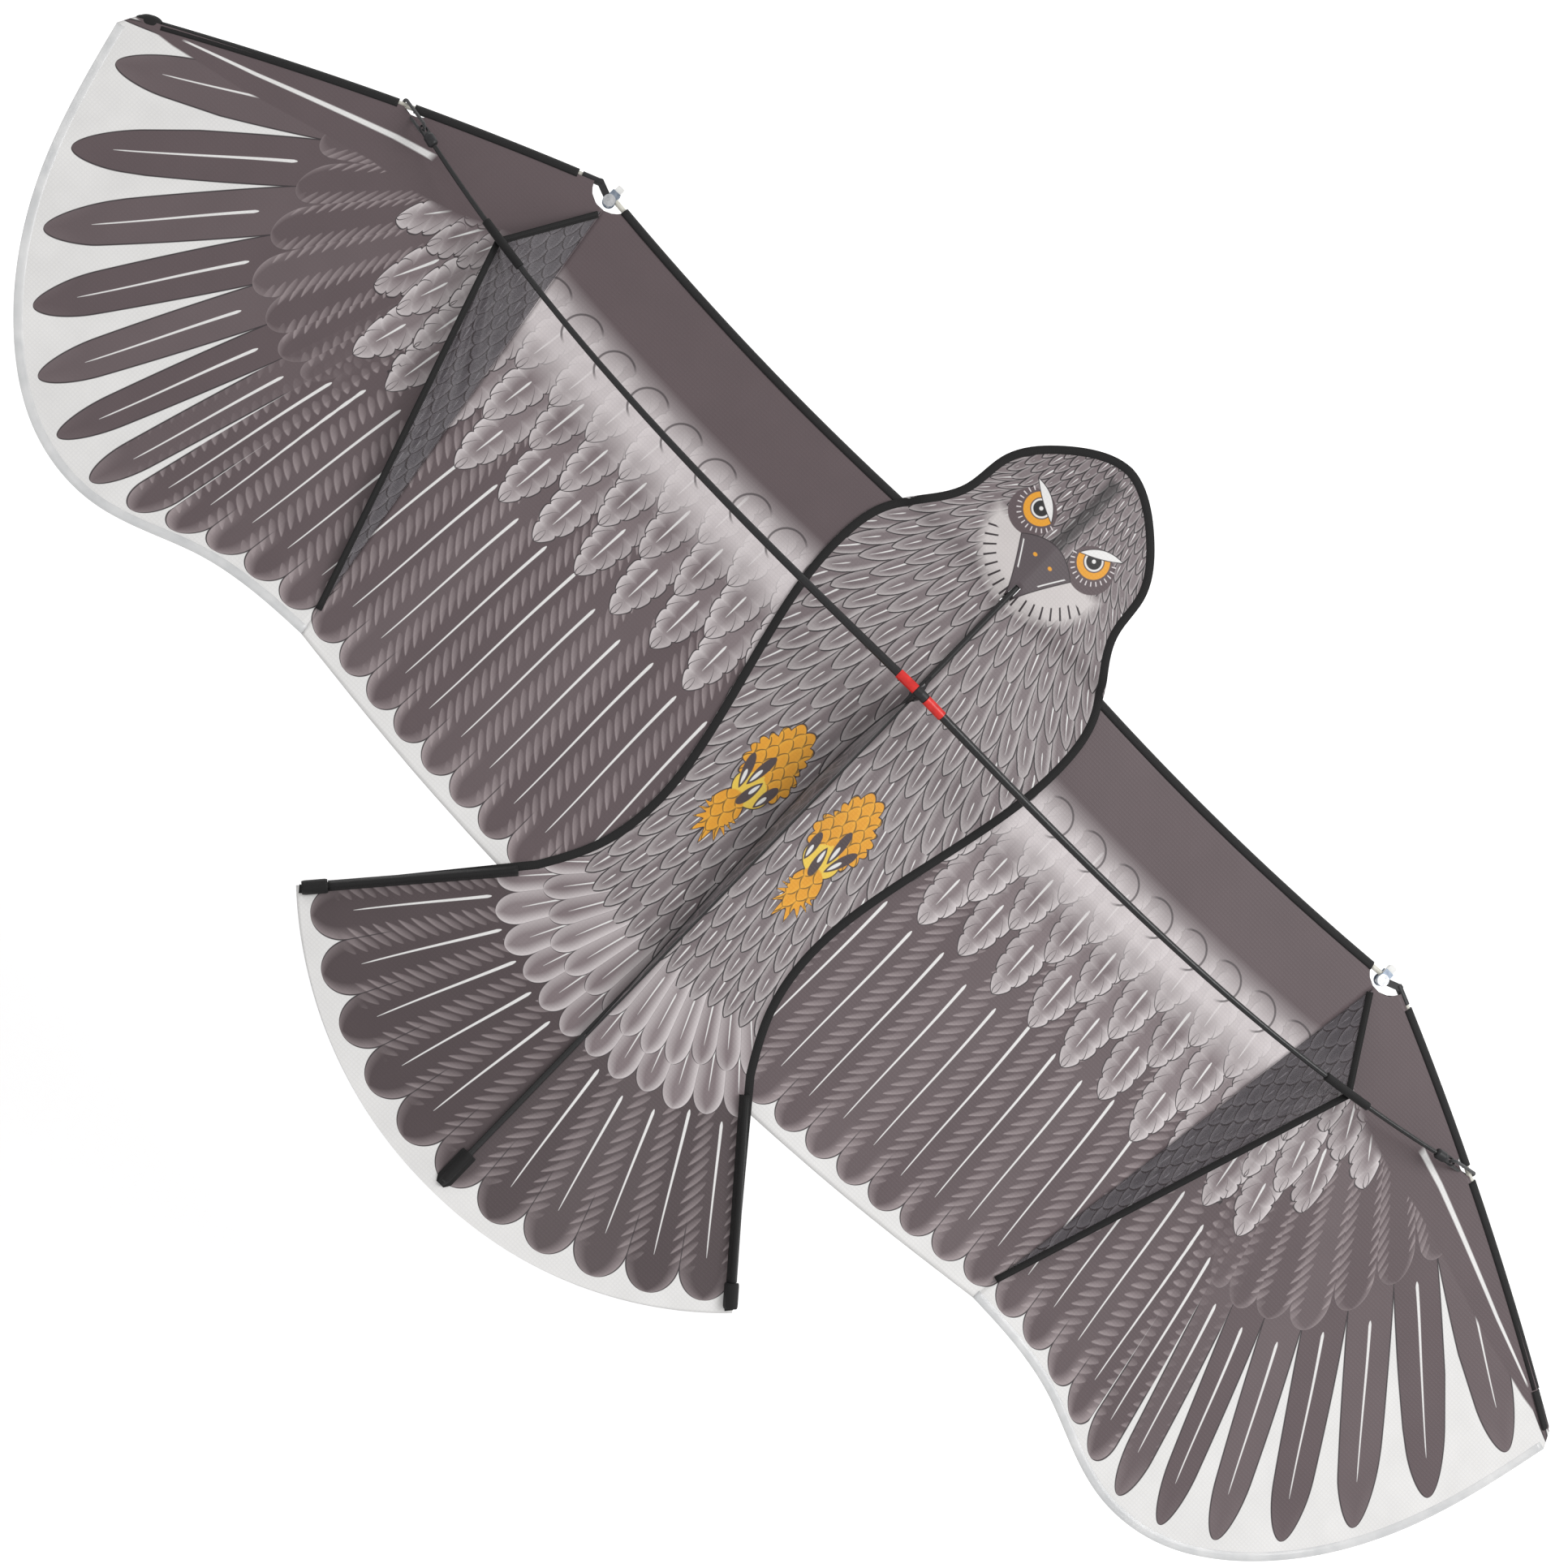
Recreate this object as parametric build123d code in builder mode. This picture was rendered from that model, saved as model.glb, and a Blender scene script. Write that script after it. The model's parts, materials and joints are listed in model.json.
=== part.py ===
# A hawk-shaped kite that scares birds off crops, seen with its frame side up.
# It hangs from its flying line by the eyelet in the nose of its keel, and its wings droop a little.
# Plan sizes are read from the point under the spar crossing: out to a wing tip, ahead to the head,
# and up from the spine. The frame's origin is the centre of the tow eyelet.
# +X points to one wing tip, +Y to the head, +Z away from the kite's back.

import os
from math import atan, degrees, radians, sqrt, tan

from build123d import *

os.makedirs("parts", exist_ok=True)

# Main shape
half_span = 650.0
crown_ahead = 206.0
tail_end_ahead = -434.0
droop = 6.6
tip_lift = 5.4

# Places of the wing's corners, out and ahead
wrist_out = 356.0
wrist_ahead = 97.0
seam_rear_out = wrist_out - 55.0
seam_rear_ahead = -240.0
tip_ahead = -30.0
root_out = 60.0
root_lead_ahead = 88.6
root_rear_ahead = -262.0
lead_mid_ahead = 88.0
rear_mid_ahead = -252.5
tip_edge = 12.0

# Marks along the outer trailing edge: share of the way from seam to tip, outward and ahead
trailing_marks = [(0.914, 0.438), (0.742, 0.043), (0.570, -0.133), (0.427, -0.152), (0.226, -0.043)]

# Body outline
body_half_width = 104.5
waist_half_width = 71.5
waist_ahead = -152.0
head_half_width = 67.0
tail_corner_out = 193.0
tail_corner_ahead = -356.0
tail_side_out = 97.0
tail_side_ahead = -240.0

# Cloth, binding and clear hem tape
cloth = 0.5
cloth_gap = 0.3
binding_width = 5.5
binding_thick = 0.4
hem_width = 6.0
hem_thick = 0.3

# Spine rod and its two pockets
spine_radius = 2.0
spine_front = 164.0
spine_rear = -425.0
slit_front = 98.0
slit_rear = 86.0
pocket_wall = 0.7
head_pocket_length = 40.0
tail_pocket_length = 26.0
tail_pocket_width = 9.0

# Spar: two tapered halves on a bent pin
spar_height = 35.0
spar_reach = 464.0
spar_root_radius = 2.95
spar_tip_radius = 1.5
spar_slope = 0.10
spar_sag = 26.6
spar_sweep = 42.0
joiner_length = 8.7
joiner_radius = 3.4
joiner_cheek = 1.0
pin_radius = 1.6
pin_depth = 16.0
band_length = 14.8
band_wall = 0.35

# Spar ends
nock_radius = 3.6
nock_length = 9.0
nock_tab_thick = 1.5
nock_tab_radius = 3.3
nock_eye_radius = 2.4
nock_gap = 0.15
cord_radius = 1.1
wrap_reach = 1.2
anchor_out = spar_reach + 23.0
anchor_gap = 5.5

# Keel
keel_rear = -300.0
keel_thick = 0.6
keel_tape_width = 3.5
keel_tape_thick = 1.2
nose_front = 18.0
nose_rear = -6.0
nose_thick = 1.2
eye_ahead = 7.5
eye_height = 15.0
eye_bore = 1.6
eye_wall = 0.45
eye_flange = 3.2
eye_flange_thick = 0.4

# Leading-edge rods and sleeves
rod_radius = 1.75
rod_drop = 4.0
sleeve_radius = 3.0
sleeve_wall = 0.9
inner_rod_start = 8.0
inner_start_ahead = 91.0
tip_reach = 4.0
notch_radius = 8.5
anchor_notch_radius = 7.5
anchor_notch_step = 5.0
nose_joiner_reach = 26.0

# Wrist joint
rivet_radius = 1.3
rivet_head_radius = 4.0
rivet_head_height = 1.4
plate_thick = 0.8
plate_gap = 4.4
plate_width = 6.4
plate_front = 7.5
plate_corner = 4.2
block_width = 5.0
block_front = 12.0
block_rear = 3.2
block_relief = 1.15
lug_thick = 1.0
lug_width = 4.6
eye_socket_length = 14.0
eye_socket_wall = 0.7
outer_rod_start = wrist_out + 12.0
outer_start_ahead = wrist_ahead + 5.0
rod_line_offset = 3.3

# Tail rods and corner pockets
tail_rod_radius = 1.25
tail_sleeve_radius = 2.7
tail_rod_start_out = 101.0
tail_rod_start_ahead = -253.0
tail_corner_length = 15.0

# Tip pockets
tip_pocket_radius = 3.15
tip_pocket_length = 26.0

# Wing fins
fin_front_ahead = 88.0
fin_front_out = wrist_out - 1.5
fin_rear_out = seam_rear_out + 2.0
fin_rear_ahead = -226.0
fin_apex_out = wrist_out + 32.0
fin_thick = 0.6
fin_tape_width = 4.5
fin_tape_thick = 1.0
spar_sleeve_start = fin_apex_out - 22.0
spar_sleeve_length = 36.0
spar_sleeve_wall = 0.8

# Clearances
running_gap = 0.08
press_gap = 0.05
soft_gap = 0.3

fall = tan(radians(droop))


def place(out, ahead, up):
    """A point given from the spar crossing, in the frame whose origin is the tow eyelet."""
    return Vector(out, ahead - eye_ahead, up - eye_height)


# The seam between the two panels of a wing runs from the wrist to the trailing edge.
seam_length = sqrt((wrist_out - seam_rear_out) ** 2 + (wrist_ahead - seam_rear_ahead) ** 2)


def beyond_seam(out, ahead):
    """Distance of a plan point outboard of the seam."""
    run_out = (wrist_out - seam_rear_out) / seam_length
    run_ahead = (wrist_ahead - seam_rear_ahead) / seam_length
    return (out - wrist_out) * run_ahead - (ahead - wrist_ahead) * run_out


def inner_up(out):
    """Height of the cloth plane between spine and seam."""
    return -fall * out


def outer_up(out, ahead):
    """Height of the flatter cloth plane outboard of the seam."""
    share = beyond_seam(out, ahead) / beyond_seam(half_span, tip_ahead)
    return -fall * out + tip_lift * share


plan = Plane(place(0, 0, half_span / 10))
plan_depth = half_span / 4
inner_plane = Plane(place(0, 0, 0), x_dir=(1, 0, -fall), z_dir=(fall, 0, 1))
wrist_point = place(wrist_out, wrist_ahead, outer_up(wrist_out, wrist_ahead))
tip_point = place(half_span, tip_ahead, outer_up(half_span, tip_ahead))
seam_rear_point = place(seam_rear_out, seam_rear_ahead, inner_up(seam_rear_out))
outer_normal = (tip_point - wrist_point).cross(wrist_point - seam_rear_point).normalized()
outer_plane = Plane(wrist_point, x_dir=tip_point - wrist_point, z_dir=outer_normal)


def save(piece, name):
    """Label a piece and write its file."""
    piece.part.label = name
    export_step(piece.part, f"parts/{name}.step")


def save_pair(piece, name):
    """Write a right-hand piece and its mirror image."""
    save(piece, name + "_right")
    with BuildPart() as other:
        mirror(piece.part, about=Plane.YZ)
    save(other, name + "_left")


def sheet(outline, plane, level, thick):
    """Cloth of a plan outline, lying on a sloping plane."""
    with BuildPart() as piece:
        with BuildSketch(plan):
            add(outline)
        extrude(amount=-plan_depth)
        with BuildSketch(plane.offset(level)):
            Rectangle(3 * half_span, 3 * half_span)
        extrude(amount=thick, mode=Mode.INTERSECT)
    return piece


def tube(line, start, end, outer, inner=0.0):
    """A rod or a sleeve along part of an arc."""
    with BuildPart() as piece:
        with BuildLine() as route:
            ThreePointArc(line @ start, line @ ((start + end) / 2), line @ end)
        with BuildSketch(Plane(route.line ^ 0)):
            Circle(outer)
            if inner > 0:
                Circle(inner, mode=Mode.SUBTRACT)
        sweep()
    return piece


# Body outline: head, shoulders and waist are one smooth curve, then straight tail sides and a round end
right_side = [
    (0.627 * head_half_width, 0.898 * crown_ahead),
    (0.970 * head_half_width, 0.738 * crown_ahead),
    (1.030 * head_half_width, 0.602 * crown_ahead),
    (0.928 * body_half_width, 0.388 * crown_ahead),
    (body_half_width, 0.218 * crown_ahead),
    (0.914 * body_half_width, 0.197 * waist_ahead),
    (1.105 * waist_half_width, 0.658 * waist_ahead),
    (waist_half_width, waist_ahead),
    (1.105 * waist_half_width, 0.602 * tail_side_ahead + 0.398 * waist_ahead),
    (tail_side_out, tail_side_ahead),
]
with BuildSketch() as body_shape:
    with BuildLine():
        left_side = [(-out, ahead) for out, ahead in reversed(right_side)]
        body_side = Spline(*left_side, (0, crown_ahead), *right_side)
        tail_side = Line((tail_side_out, tail_side_ahead), (tail_corner_out, tail_corner_ahead))
        mirror(tail_side, about=Plane.YZ)
        tail_arc = ThreePointArc(
            (tail_corner_out, tail_corner_ahead),
            (0, tail_end_ahead),
            (-tail_corner_out, tail_corner_ahead),
        )
    make_face()


def inward(line, share):
    """Direction into the body, square to its outline, which runs clockwise."""
    heading = line % share
    return Vector(heading.Y, -heading.X)


# The binding's inner edge follows the outline at one binding width
side_normal = inward(tail_side, 1)
end_normal = inward(tail_arc, 0)
corner_step = (side_normal + end_normal) * (binding_width / (1 + side_normal.dot(end_normal)))
inner_corner = Vector(tail_corner_out, tail_corner_ahead) + corner_step
inner_side_start = Vector(tail_side_out, tail_side_ahead) + side_normal * binding_width
with BuildSketch() as body_inner:
    with BuildLine():
        samples = 30
        inner_side = []
        for step in range(1, samples):
            share = step / samples
            inner_side.append(body_side @ share + inward(body_side, share) * binding_width)
        Spline((-inner_side_start.X, inner_side_start.Y), *inner_side, inner_side_start)
        inner_tail = Line(inner_side_start, inner_corner)
        mirror(inner_tail, about=Plane.YZ)
        ThreePointArc(inner_corner, (0, tail_end_ahead + binding_width), (-inner_corner.X, inner_corner.Y))
    make_face()

body_level = cloth_gap
body_top = body_level + cloth
binding_level = body_top + press_gap
spine_up = body_top + press_gap + spine_radius
head_pocket_radius = spine_radius + press_gap + pocket_wall
head_level = spine_up + head_pocket_radius
head_rise = head_level - body_level


def bent_sheet(shape, level, thick):
    """A piece of the body: the torso and tail below the spine rod, the head above it."""
    with BuildSketch() as torso:
        add(shape)
        with Locations((half_span, slit_rear - half_span)):
            Rectangle(2 * half_span, 2 * half_span, mode=Mode.INTERSECT)
    with BuildSketch() as head:
        add(shape)
        with Locations((half_span, slit_front + half_span)):
            Rectangle(2 * half_span, 2 * half_span, mode=Mode.INTERSECT)
    with BuildSketch() as ramp:
        add(shape)
        with Locations((half_span, (slit_front + slit_rear) / 2)):
            Rectangle(2 * half_span, slit_front - slit_rear, mode=Mode.INTERSECT)
    slope = Plane(
        inner_plane.from_local_coords((0, slit_rear, level)),
        x_dir=inner_plane.x_dir,
        z_dir=inner_plane.z_dir * (slit_front - slit_rear) - inner_plane.y_dir * head_rise,
    )
    with BuildPart() as piece:
        add(sheet(torso.sketch, inner_plane, level, thick).part)
        add(sheet(head.sketch, inner_plane, level + head_rise, thick).part)
        add(sheet(ramp.sketch, slope, 0, thick).part)
        mirror(about=Plane.YZ)
    return piece


with BuildPart() as body_sail:
    add(bent_sheet(body_shape.sketch, body_level, cloth).part)
    with BuildSketch(plan):
        with Locations((0, (slit_front + slit_rear) / 2)):
            Rectangle(2 * spine_radius + 2 * soft_gap, slit_front - slit_rear + 4)
    extrude(amount=-plan_depth, mode=Mode.SUBTRACT)
    # The folds at the spine and the slit part the cloth into flat solids, so collision follows each of them
    split(bisect_by=Plane.YZ, keep=Keep.BOTH)
    split(bisect_by=Plane(place(0, slit_rear, 0), x_dir=(1, 0, 0), z_dir=(0, 1, 0)), keep=Keep.BOTH)
save(body_sail, "body_sail")
print("body cloth solids", len(body_sail.part.solids()))
with BuildPart() as body_binding:
    add(bent_sheet(body_shape.sketch, binding_level, binding_thick).part)
    add(bent_sheet(body_inner.sketch, binding_level, binding_thick).part, mode=Mode.SUBTRACT)
    # The tail's round end has clear tape alone
    with BuildSketch(plan):
        with Locations((0, tail_corner_ahead - half_span)):
            Rectangle(2 * half_span, 2 * half_span)
    extrude(amount=-plan_depth, mode=Mode.SUBTRACT)
save(body_binding, "body_binding")

# Clear tape under the tail's round edge
with BuildSketch() as tail_tape_shape:
    add(body_shape.sketch)
    with Locations((0, hem_width)):
        add(body_shape.sketch, mode=Mode.SUBTRACT)
    with Locations((half_span / 2, tail_end_ahead)):
        Rectangle(half_span, 2 * (tail_corner_ahead - tail_end_ahead), mode=Mode.INTERSECT)

with BuildPart() as tail_hem:
    add(sheet(tail_tape_shape.sketch, inner_plane, body_level - hem_thick, hem_thick).part)
    mirror(about=Plane.YZ)
save(tail_hem, "tail_hem")

# Wing outlines. The leading edge follows the rods.
inner_mid_out = wrist_out / 2 + 2
inner_rod_line = Edge.make_three_point_arc(
    place(inner_rod_start, inner_start_ahead, inner_up(inner_rod_start) - rod_drop),
    place(inner_mid_out, lead_mid_ahead - 0.2, inner_up(inner_mid_out) - rod_drop),
    place(wrist_out, wrist_ahead + rod_line_offset, inner_up(wrist_out) - rod_drop),
)
outer_mid_out = outer_rod_start + 0.468 * (half_span - outer_rod_start)
outer_mid_ahead = tip_ahead + 0.568 * (outer_start_ahead - tip_ahead)
outer_rod_line = Edge.make_three_point_arc(
    place(outer_rod_start, outer_start_ahead, outer_up(outer_rod_start, outer_start_ahead) - rod_drop),
    place(outer_mid_out, outer_mid_ahead, outer_up(outer_mid_out, outer_mid_ahead) - rod_drop),
    place(half_span - tip_reach, tip_ahead, outer_up(half_span - tip_reach, tip_ahead) - rod_drop),
)
tip_share = tip_pocket_length / outer_rod_line.length
socket_share = eye_socket_length / outer_rod_line.length
anchor_share = (anchor_out - outer_rod_start) / (half_span - tip_reach - outer_rod_start)
anchor_gap_share = anchor_gap / outer_rod_line.length
anchor_point = outer_rod_line @ anchor_share

with BuildSketch() as inner_outline:
    with BuildLine():
        root_front = (root_out, root_lead_ahead)
        root_rear = (root_out, root_rear_ahead)
        Line(root_rear, root_front)
        lead_mark = (0.562 * wrist_out, lead_mid_ahead)
        ThreePointArc(root_front, lead_mark, (wrist_out, wrist_ahead + rod_line_offset))
        Line((wrist_out, wrist_ahead + rod_line_offset), (seam_rear_out, seam_rear_ahead))
        Spline((seam_rear_out, seam_rear_ahead), (0.664 * seam_rear_out, rear_mid_ahead), root_rear)
    make_face()

with BuildSketch() as outer_outline:
    with BuildLine():
        Line((seam_rear_out, seam_rear_ahead), (wrist_out, wrist_ahead + rod_line_offset))
        Line((wrist_out, wrist_ahead + rod_line_offset), (outer_rod_start, outer_start_ahead))
        ThreePointArc(
            (outer_rod_start, outer_start_ahead),
            (outer_mid_out, outer_mid_ahead),
            (half_span, tip_ahead),
        )
        tip_corner = (half_span + 0.42 * tip_edge, tip_ahead - tip_edge)
        Line((half_span, tip_ahead), tip_corner)
        trailing = []
        for out_share, ahead_share in trailing_marks:
            out = seam_rear_out + out_share * (half_span - seam_rear_out)
            ahead = seam_rear_ahead + ahead_share * (tip_ahead - seam_rear_ahead)
            trailing.append((out, ahead))
        Spline(tip_corner, *trailing, (seam_rear_out, seam_rear_ahead))
    make_face()

with BuildSketch() as inner_panel_shape:
    add(inner_outline.sketch)
    with Locations((wrist_out, wrist_ahead)):
        Circle(notch_radius, mode=Mode.SUBTRACT)

with BuildSketch() as outer_panel_shape:
    add(outer_outline.sketch)
    with Locations((wrist_out, wrist_ahead)):
        Circle(notch_radius, mode=Mode.SUBTRACT)
    with Locations((anchor_point.X - anchor_notch_step, anchor_point.Y + eye_ahead - anchor_notch_step / 2)):
        Circle(anchor_notch_radius, mode=Mode.SUBTRACT)

save_pair(sheet(inner_panel_shape.sketch, inner_plane, -cloth, cloth), "wing_panel_inner")
save_pair(sheet(outer_panel_shape.sketch, outer_plane, -cloth, cloth), "wing_panel_outer")

# Clear tape on the trailing edges: below the inner panel and above the outer one
seam_out_share = (wrist_out - seam_rear_out) / seam_length
seam_ahead_share = (wrist_ahead - seam_rear_ahead) / seam_length
with BuildSketch() as inner_tape_shape:
    add(inner_outline.sketch)
    with Locations((hem_width * seam_out_share, hem_width * seam_ahead_share)):
        add(inner_outline.sketch, mode=Mode.SUBTRACT)
    with Locations((tail_side_out + half_span, 0)):
        Rectangle(2 * half_span, 2 * half_span, mode=Mode.INTERSECT)
save_pair(sheet(inner_tape_shape.sketch, inner_plane, -cloth - hem_thick, hem_thick), "wing_hem_inner")

with BuildSketch() as outer_tape_shape:
    add(outer_outline.sketch)
    with Locations((-hem_width * 0.75, hem_width * 0.75)):
        add(outer_outline.sketch, mode=Mode.SUBTRACT)
    with Locations((seam_rear_out + hem_width + half_span, tip_ahead - hem_width - half_span)):
        Rectangle(2 * half_span, 2 * half_span, mode=Mode.INTERSECT)
save_pair(sheet(outer_tape_shape.sketch, outer_plane, 0, hem_thick), "wing_hem_outer")

# Leading-edge rods in their sleeves
inner_rod_end = 0.992
le_rod_inner = tube(inner_rod_line, 0, inner_rod_end, rod_radius)
save_pair(le_rod_inner, "le_rod_inner")
le_sleeve_inner = tube(inner_rod_line, 0.09, 0.965, sleeve_radius, sleeve_radius - sleeve_wall)
save_pair(le_sleeve_inner, "le_sleeve_inner")
outer_rod = tube(outer_rod_line, 0, 1, rod_radius)
save_pair(outer_rod, "le_rod_outer")

sleeve_bore = sleeve_radius - sleeve_wall
with BuildPart() as le_sleeve_outer:
    add(tube(outer_rod_line, socket_share + 0.004, anchor_share - anchor_gap_share, sleeve_radius, sleeve_bore).part)
    add(tube(outer_rod_line, anchor_share + anchor_gap_share, 1 - tip_share, sleeve_radius, sleeve_bore).part)
save_pair(le_sleeve_outer, "le_sleeve_outer")

with BuildPart() as tip_pocket:
    add(tube(outer_rod_line, 1 - tip_share + 0.003, 1, tip_pocket_radius).part)
    with BuildSketch(Plane(outer_rod_line ^ 1)):
        Circle(tip_pocket_radius)
    extrude(amount=3)
    fillet(tip_pocket.edges().filter_by(GeomType.CIRCLE).sort_by(Axis.X)[-1], 1.2)
    add(tube(outer_rod_line, 1 - tip_share + 0.003, 1, rod_radius + soft_gap).part, mode=Mode.SUBTRACT)
    with BuildSketch(Plane(outer_rod_line ^ 1)):
        Circle(rod_radius + soft_gap)
    extrude(amount=1, mode=Mode.SUBTRACT)
save_pair(tip_pocket, "tip_pocket")

# Short bent tube at the nose, which joins the two inner rods
nose_start = inner_rod_line @ 0
nose_heading = inner_rod_line % 0
nose_centre = nose_start - nose_heading * (nose_start.X / nose_heading.X)
with BuildPart() as nose_joiner:
    with BuildSketch(Plane(nose_centre, z_dir=nose_heading)):
        Circle(sleeve_radius)
    extrude(amount=nose_joiner_reach)
    with BuildSketch(Plane(nose_start, z_dir=nose_heading)):
        Circle(rod_radius + running_gap)
    extrude(amount=nose_joiner_reach, mode=Mode.SUBTRACT)
    split(bisect_by=Plane.YZ, keep=Keep.TOP)
    mirror(about=Plane.YZ)
save(nose_joiner, "nose_joiner")

# Spine rod, with its pockets at the head and the tail
with BuildPart() as spine_rod:
    with BuildSketch(Plane(place(0, spine_rear, spine_up), z_dir=(0, 1, 0))):
        Circle(spine_radius)
    extrude(amount=spine_front - spine_rear)
    chamfer(spine_rod.edges().filter_by(GeomType.CIRCLE), 0.4)
save(spine_rod, "spine_rod")

with BuildPart() as head_pocket:
    with BuildSketch(Plane(place(0, spine_front - head_pocket_length, spine_up), z_dir=(0, 1, 0))):
        Circle(head_pocket_radius)
    extrude(amount=head_pocket_length + 2)
    fillet(head_pocket.edges().group_by(Axis.Y)[-1], 1.2)
    with BuildSketch(Plane(place(0, spine_front - head_pocket_length, spine_up), z_dir=(0, 1, 0))):
        Circle(spine_radius + press_gap)
    extrude(amount=head_pocket_length + press_gap, mode=Mode.SUBTRACT)
save(head_pocket, "head_pocket")

tail_pocket_plane = Plane(place(0, spine_rear - 2, spine_up), x_dir=(-1, 0, 0), z_dir=(0, 1, 0))
with BuildPart() as tail_pocket:
    with BuildSketch(tail_pocket_plane):
        with Locations((0, pocket_wall / 2)):
            RectangleRounded(tail_pocket_width, 2 * spine_radius + pocket_wall, 1.8)
    extrude(amount=tail_pocket_length)
    with BuildSketch(tail_pocket_plane.offset(2 - press_gap)):
        Circle(spine_radius + press_gap)
    extrude(amount=tail_pocket_length, mode=Mode.SUBTRACT)
save(tail_pocket, "tail_pocket")

# Tail side rods in their sleeves, lying on the cloth
tail_rod_up = binding_level + binding_thick + 2 * soft_gap + tail_sleeve_radius
inset = 4.4
tail_start = place(tail_rod_start_out, tail_rod_start_ahead, inner_up(tail_rod_start_out) + tail_rod_up)
tail_end = place(
    tail_corner_out - inset,
    tail_corner_ahead + inset / 2,
    inner_up(tail_corner_out - inset) + tail_rod_up,
)
tail_heading = (tail_end - tail_start).normalized()
tail_rod_length = (tail_end - tail_start).length
with BuildPart() as tail_rod:
    with BuildSketch(Plane(tail_start, z_dir=tail_heading)):
        Circle(tail_rod_radius)
    extrude(amount=tail_rod_length - 1)
save_pair(tail_rod, "tail_rod")

with BuildPart() as tail_sleeve:
    with BuildSketch(Plane(tail_start, z_dir=tail_heading)):
        Circle(tail_sleeve_radius)
        Circle(tail_rod_radius + press_gap, mode=Mode.SUBTRACT)
    extrude(amount=tail_rod_length - tail_corner_length)
save_pair(tail_sleeve, "tail_sleeve")

with BuildPart() as tail_corner:
    with BuildSketch(Plane(tail_end, z_dir=-tail_heading)):
        Circle(tail_sleeve_radius + soft_gap)
    extrude(amount=tail_corner_length - soft_gap)
    fillet(tail_corner.edges().filter_by(GeomType.CIRCLE), 0.8)
    with BuildSketch(Plane(tail_end - tail_heading * 0.9, z_dir=-tail_heading)):
        Circle(tail_rod_radius + press_gap)
    extrude(amount=tail_corner_length, mode=Mode.SUBTRACT)
save_pair(tail_corner, "tail_corner")


def spar_point(out):
    """Centre of the spar: straight at the crossing, and bent forward and down like a loaded rod."""
    share = (out / spar_reach) ** 3
    return place(out, spar_sweep * share, spar_height - spar_slope * out - spar_sag * share)


def spar_heading(out):
    """Direction of the spar at a distance out."""
    return (spar_point(out + 0.5) - spar_point(out - 0.5)).normalized()


def spar_radius(out):
    """The spar tapers evenly from its root to its tip."""
    return spar_root_radius - (spar_root_radius - spar_tip_radius) * out / spar_reach


spar_root = joiner_length / 2 + running_gap
spar_axis = Vector(1, 0, -spar_slope).normalized()
with BuildPart() as spar_rod:
    for share in (0, 0.15, 0.3, 0.45, 0.6, 0.75, 0.88, 1):
        out = spar_root + (spar_reach - spar_root) * share
        with BuildSketch(Plane(spar_point(out), x_dir=(0, 1, 0), z_dir=spar_heading(out))):
            Circle(spar_radius(out))
    loft()
    with BuildSketch(Plane(spar_point(spar_root), z_dir=spar_axis)):
        Circle(pin_radius + running_gap)
    extrude(amount=pin_depth + 1, mode=Mode.SUBTRACT)
save_pair(spar_rod, "spar_half")

with BuildPart() as marker_band:
    with BuildSketch(Plane(spar_point(spar_root + 0.1), z_dir=spar_axis)):
        Circle(spar_root_radius + press_gap + band_wall)
        Circle(spar_root_radius + press_gap, mode=Mode.SUBTRACT)
    extrude(amount=band_length)
save_pair(marker_band, "marker_band")

# Bent pin that sets the droop, and the moulded joiner round it
with BuildPart() as joiner_pin:
    with BuildSketch(Plane(place(0, 0, spar_height), z_dir=spar_axis)):
        Circle(pin_radius)
    extrude(amount=joiner_length / 2 + pin_depth, both=True)
    split(bisect_by=Plane.YZ, keep=Keep.TOP)
    mirror(about=Plane.YZ)
save(joiner_pin, "joiner_pin")

nose_top = spar_height - joiner_radius - soft_gap
cheek_low = nose_top - 5.0
cheek_plane = Plane(place(0, 0, cheek_low), x_dir=(1, 0, 0), z_dir=(0, 0, 1))
with BuildPart() as spar_joiner:
    with BuildSketch(Plane(place(0, 0, spar_height), z_dir=spar_axis)):
        Circle(joiner_radius)
    extrude(amount=joiner_length / 2, both=True)
    fillet(spar_joiner.edges().filter_by(GeomType.CIRCLE), 0.6)
    with BuildSketch(cheek_plane):
        Rectangle(nose_thick + 2 * press_gap + 2 * joiner_cheek, 2 * joiner_radius)
    extrude(amount=spar_height - cheek_low)
    with BuildSketch(cheek_plane):
        Rectangle(nose_thick + 2 * press_gap, 4 * joiner_radius)
    extrude(amount=nose_top + soft_gap - cheek_low, mode=Mode.SUBTRACT)
    with BuildSketch(Plane(place(0, 0, spar_height), z_dir=spar_axis)):
        Circle(pin_radius + press_gap)
    extrude(amount=joiner_length, both=True, mode=Mode.SUBTRACT)
    split(bisect_by=Plane.YZ, keep=Keep.TOP)
    mirror(about=Plane.YZ)
save(spar_joiner, "spar_joiner")

# Keel: cloth, black tape on its free edge, stiff nose patch and the tow eyelet
side_view = Plane(place(0, 0, 0), x_dir=(0, 1, 0), z_dir=(1, 0, 0))
keel_low = spine_up + spine_radius + soft_gap
with BuildPart() as keel_nose:
    with BuildSketch(side_view.offset(-nose_thick / 2)):
        with BuildLine():
            Polyline(
                (nose_front, keel_low),
                (joiner_radius, nose_top),
                (-joiner_radius, nose_top),
                (nose_rear, keel_low),
                close=True,
            )
        make_face()
        with Locations((eye_ahead, eye_height)):
            Circle(eye_bore + eye_wall + press_gap, mode=Mode.SUBTRACT)
    extrude(amount=nose_thick)
save(keel_nose, "keel_nose")

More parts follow.
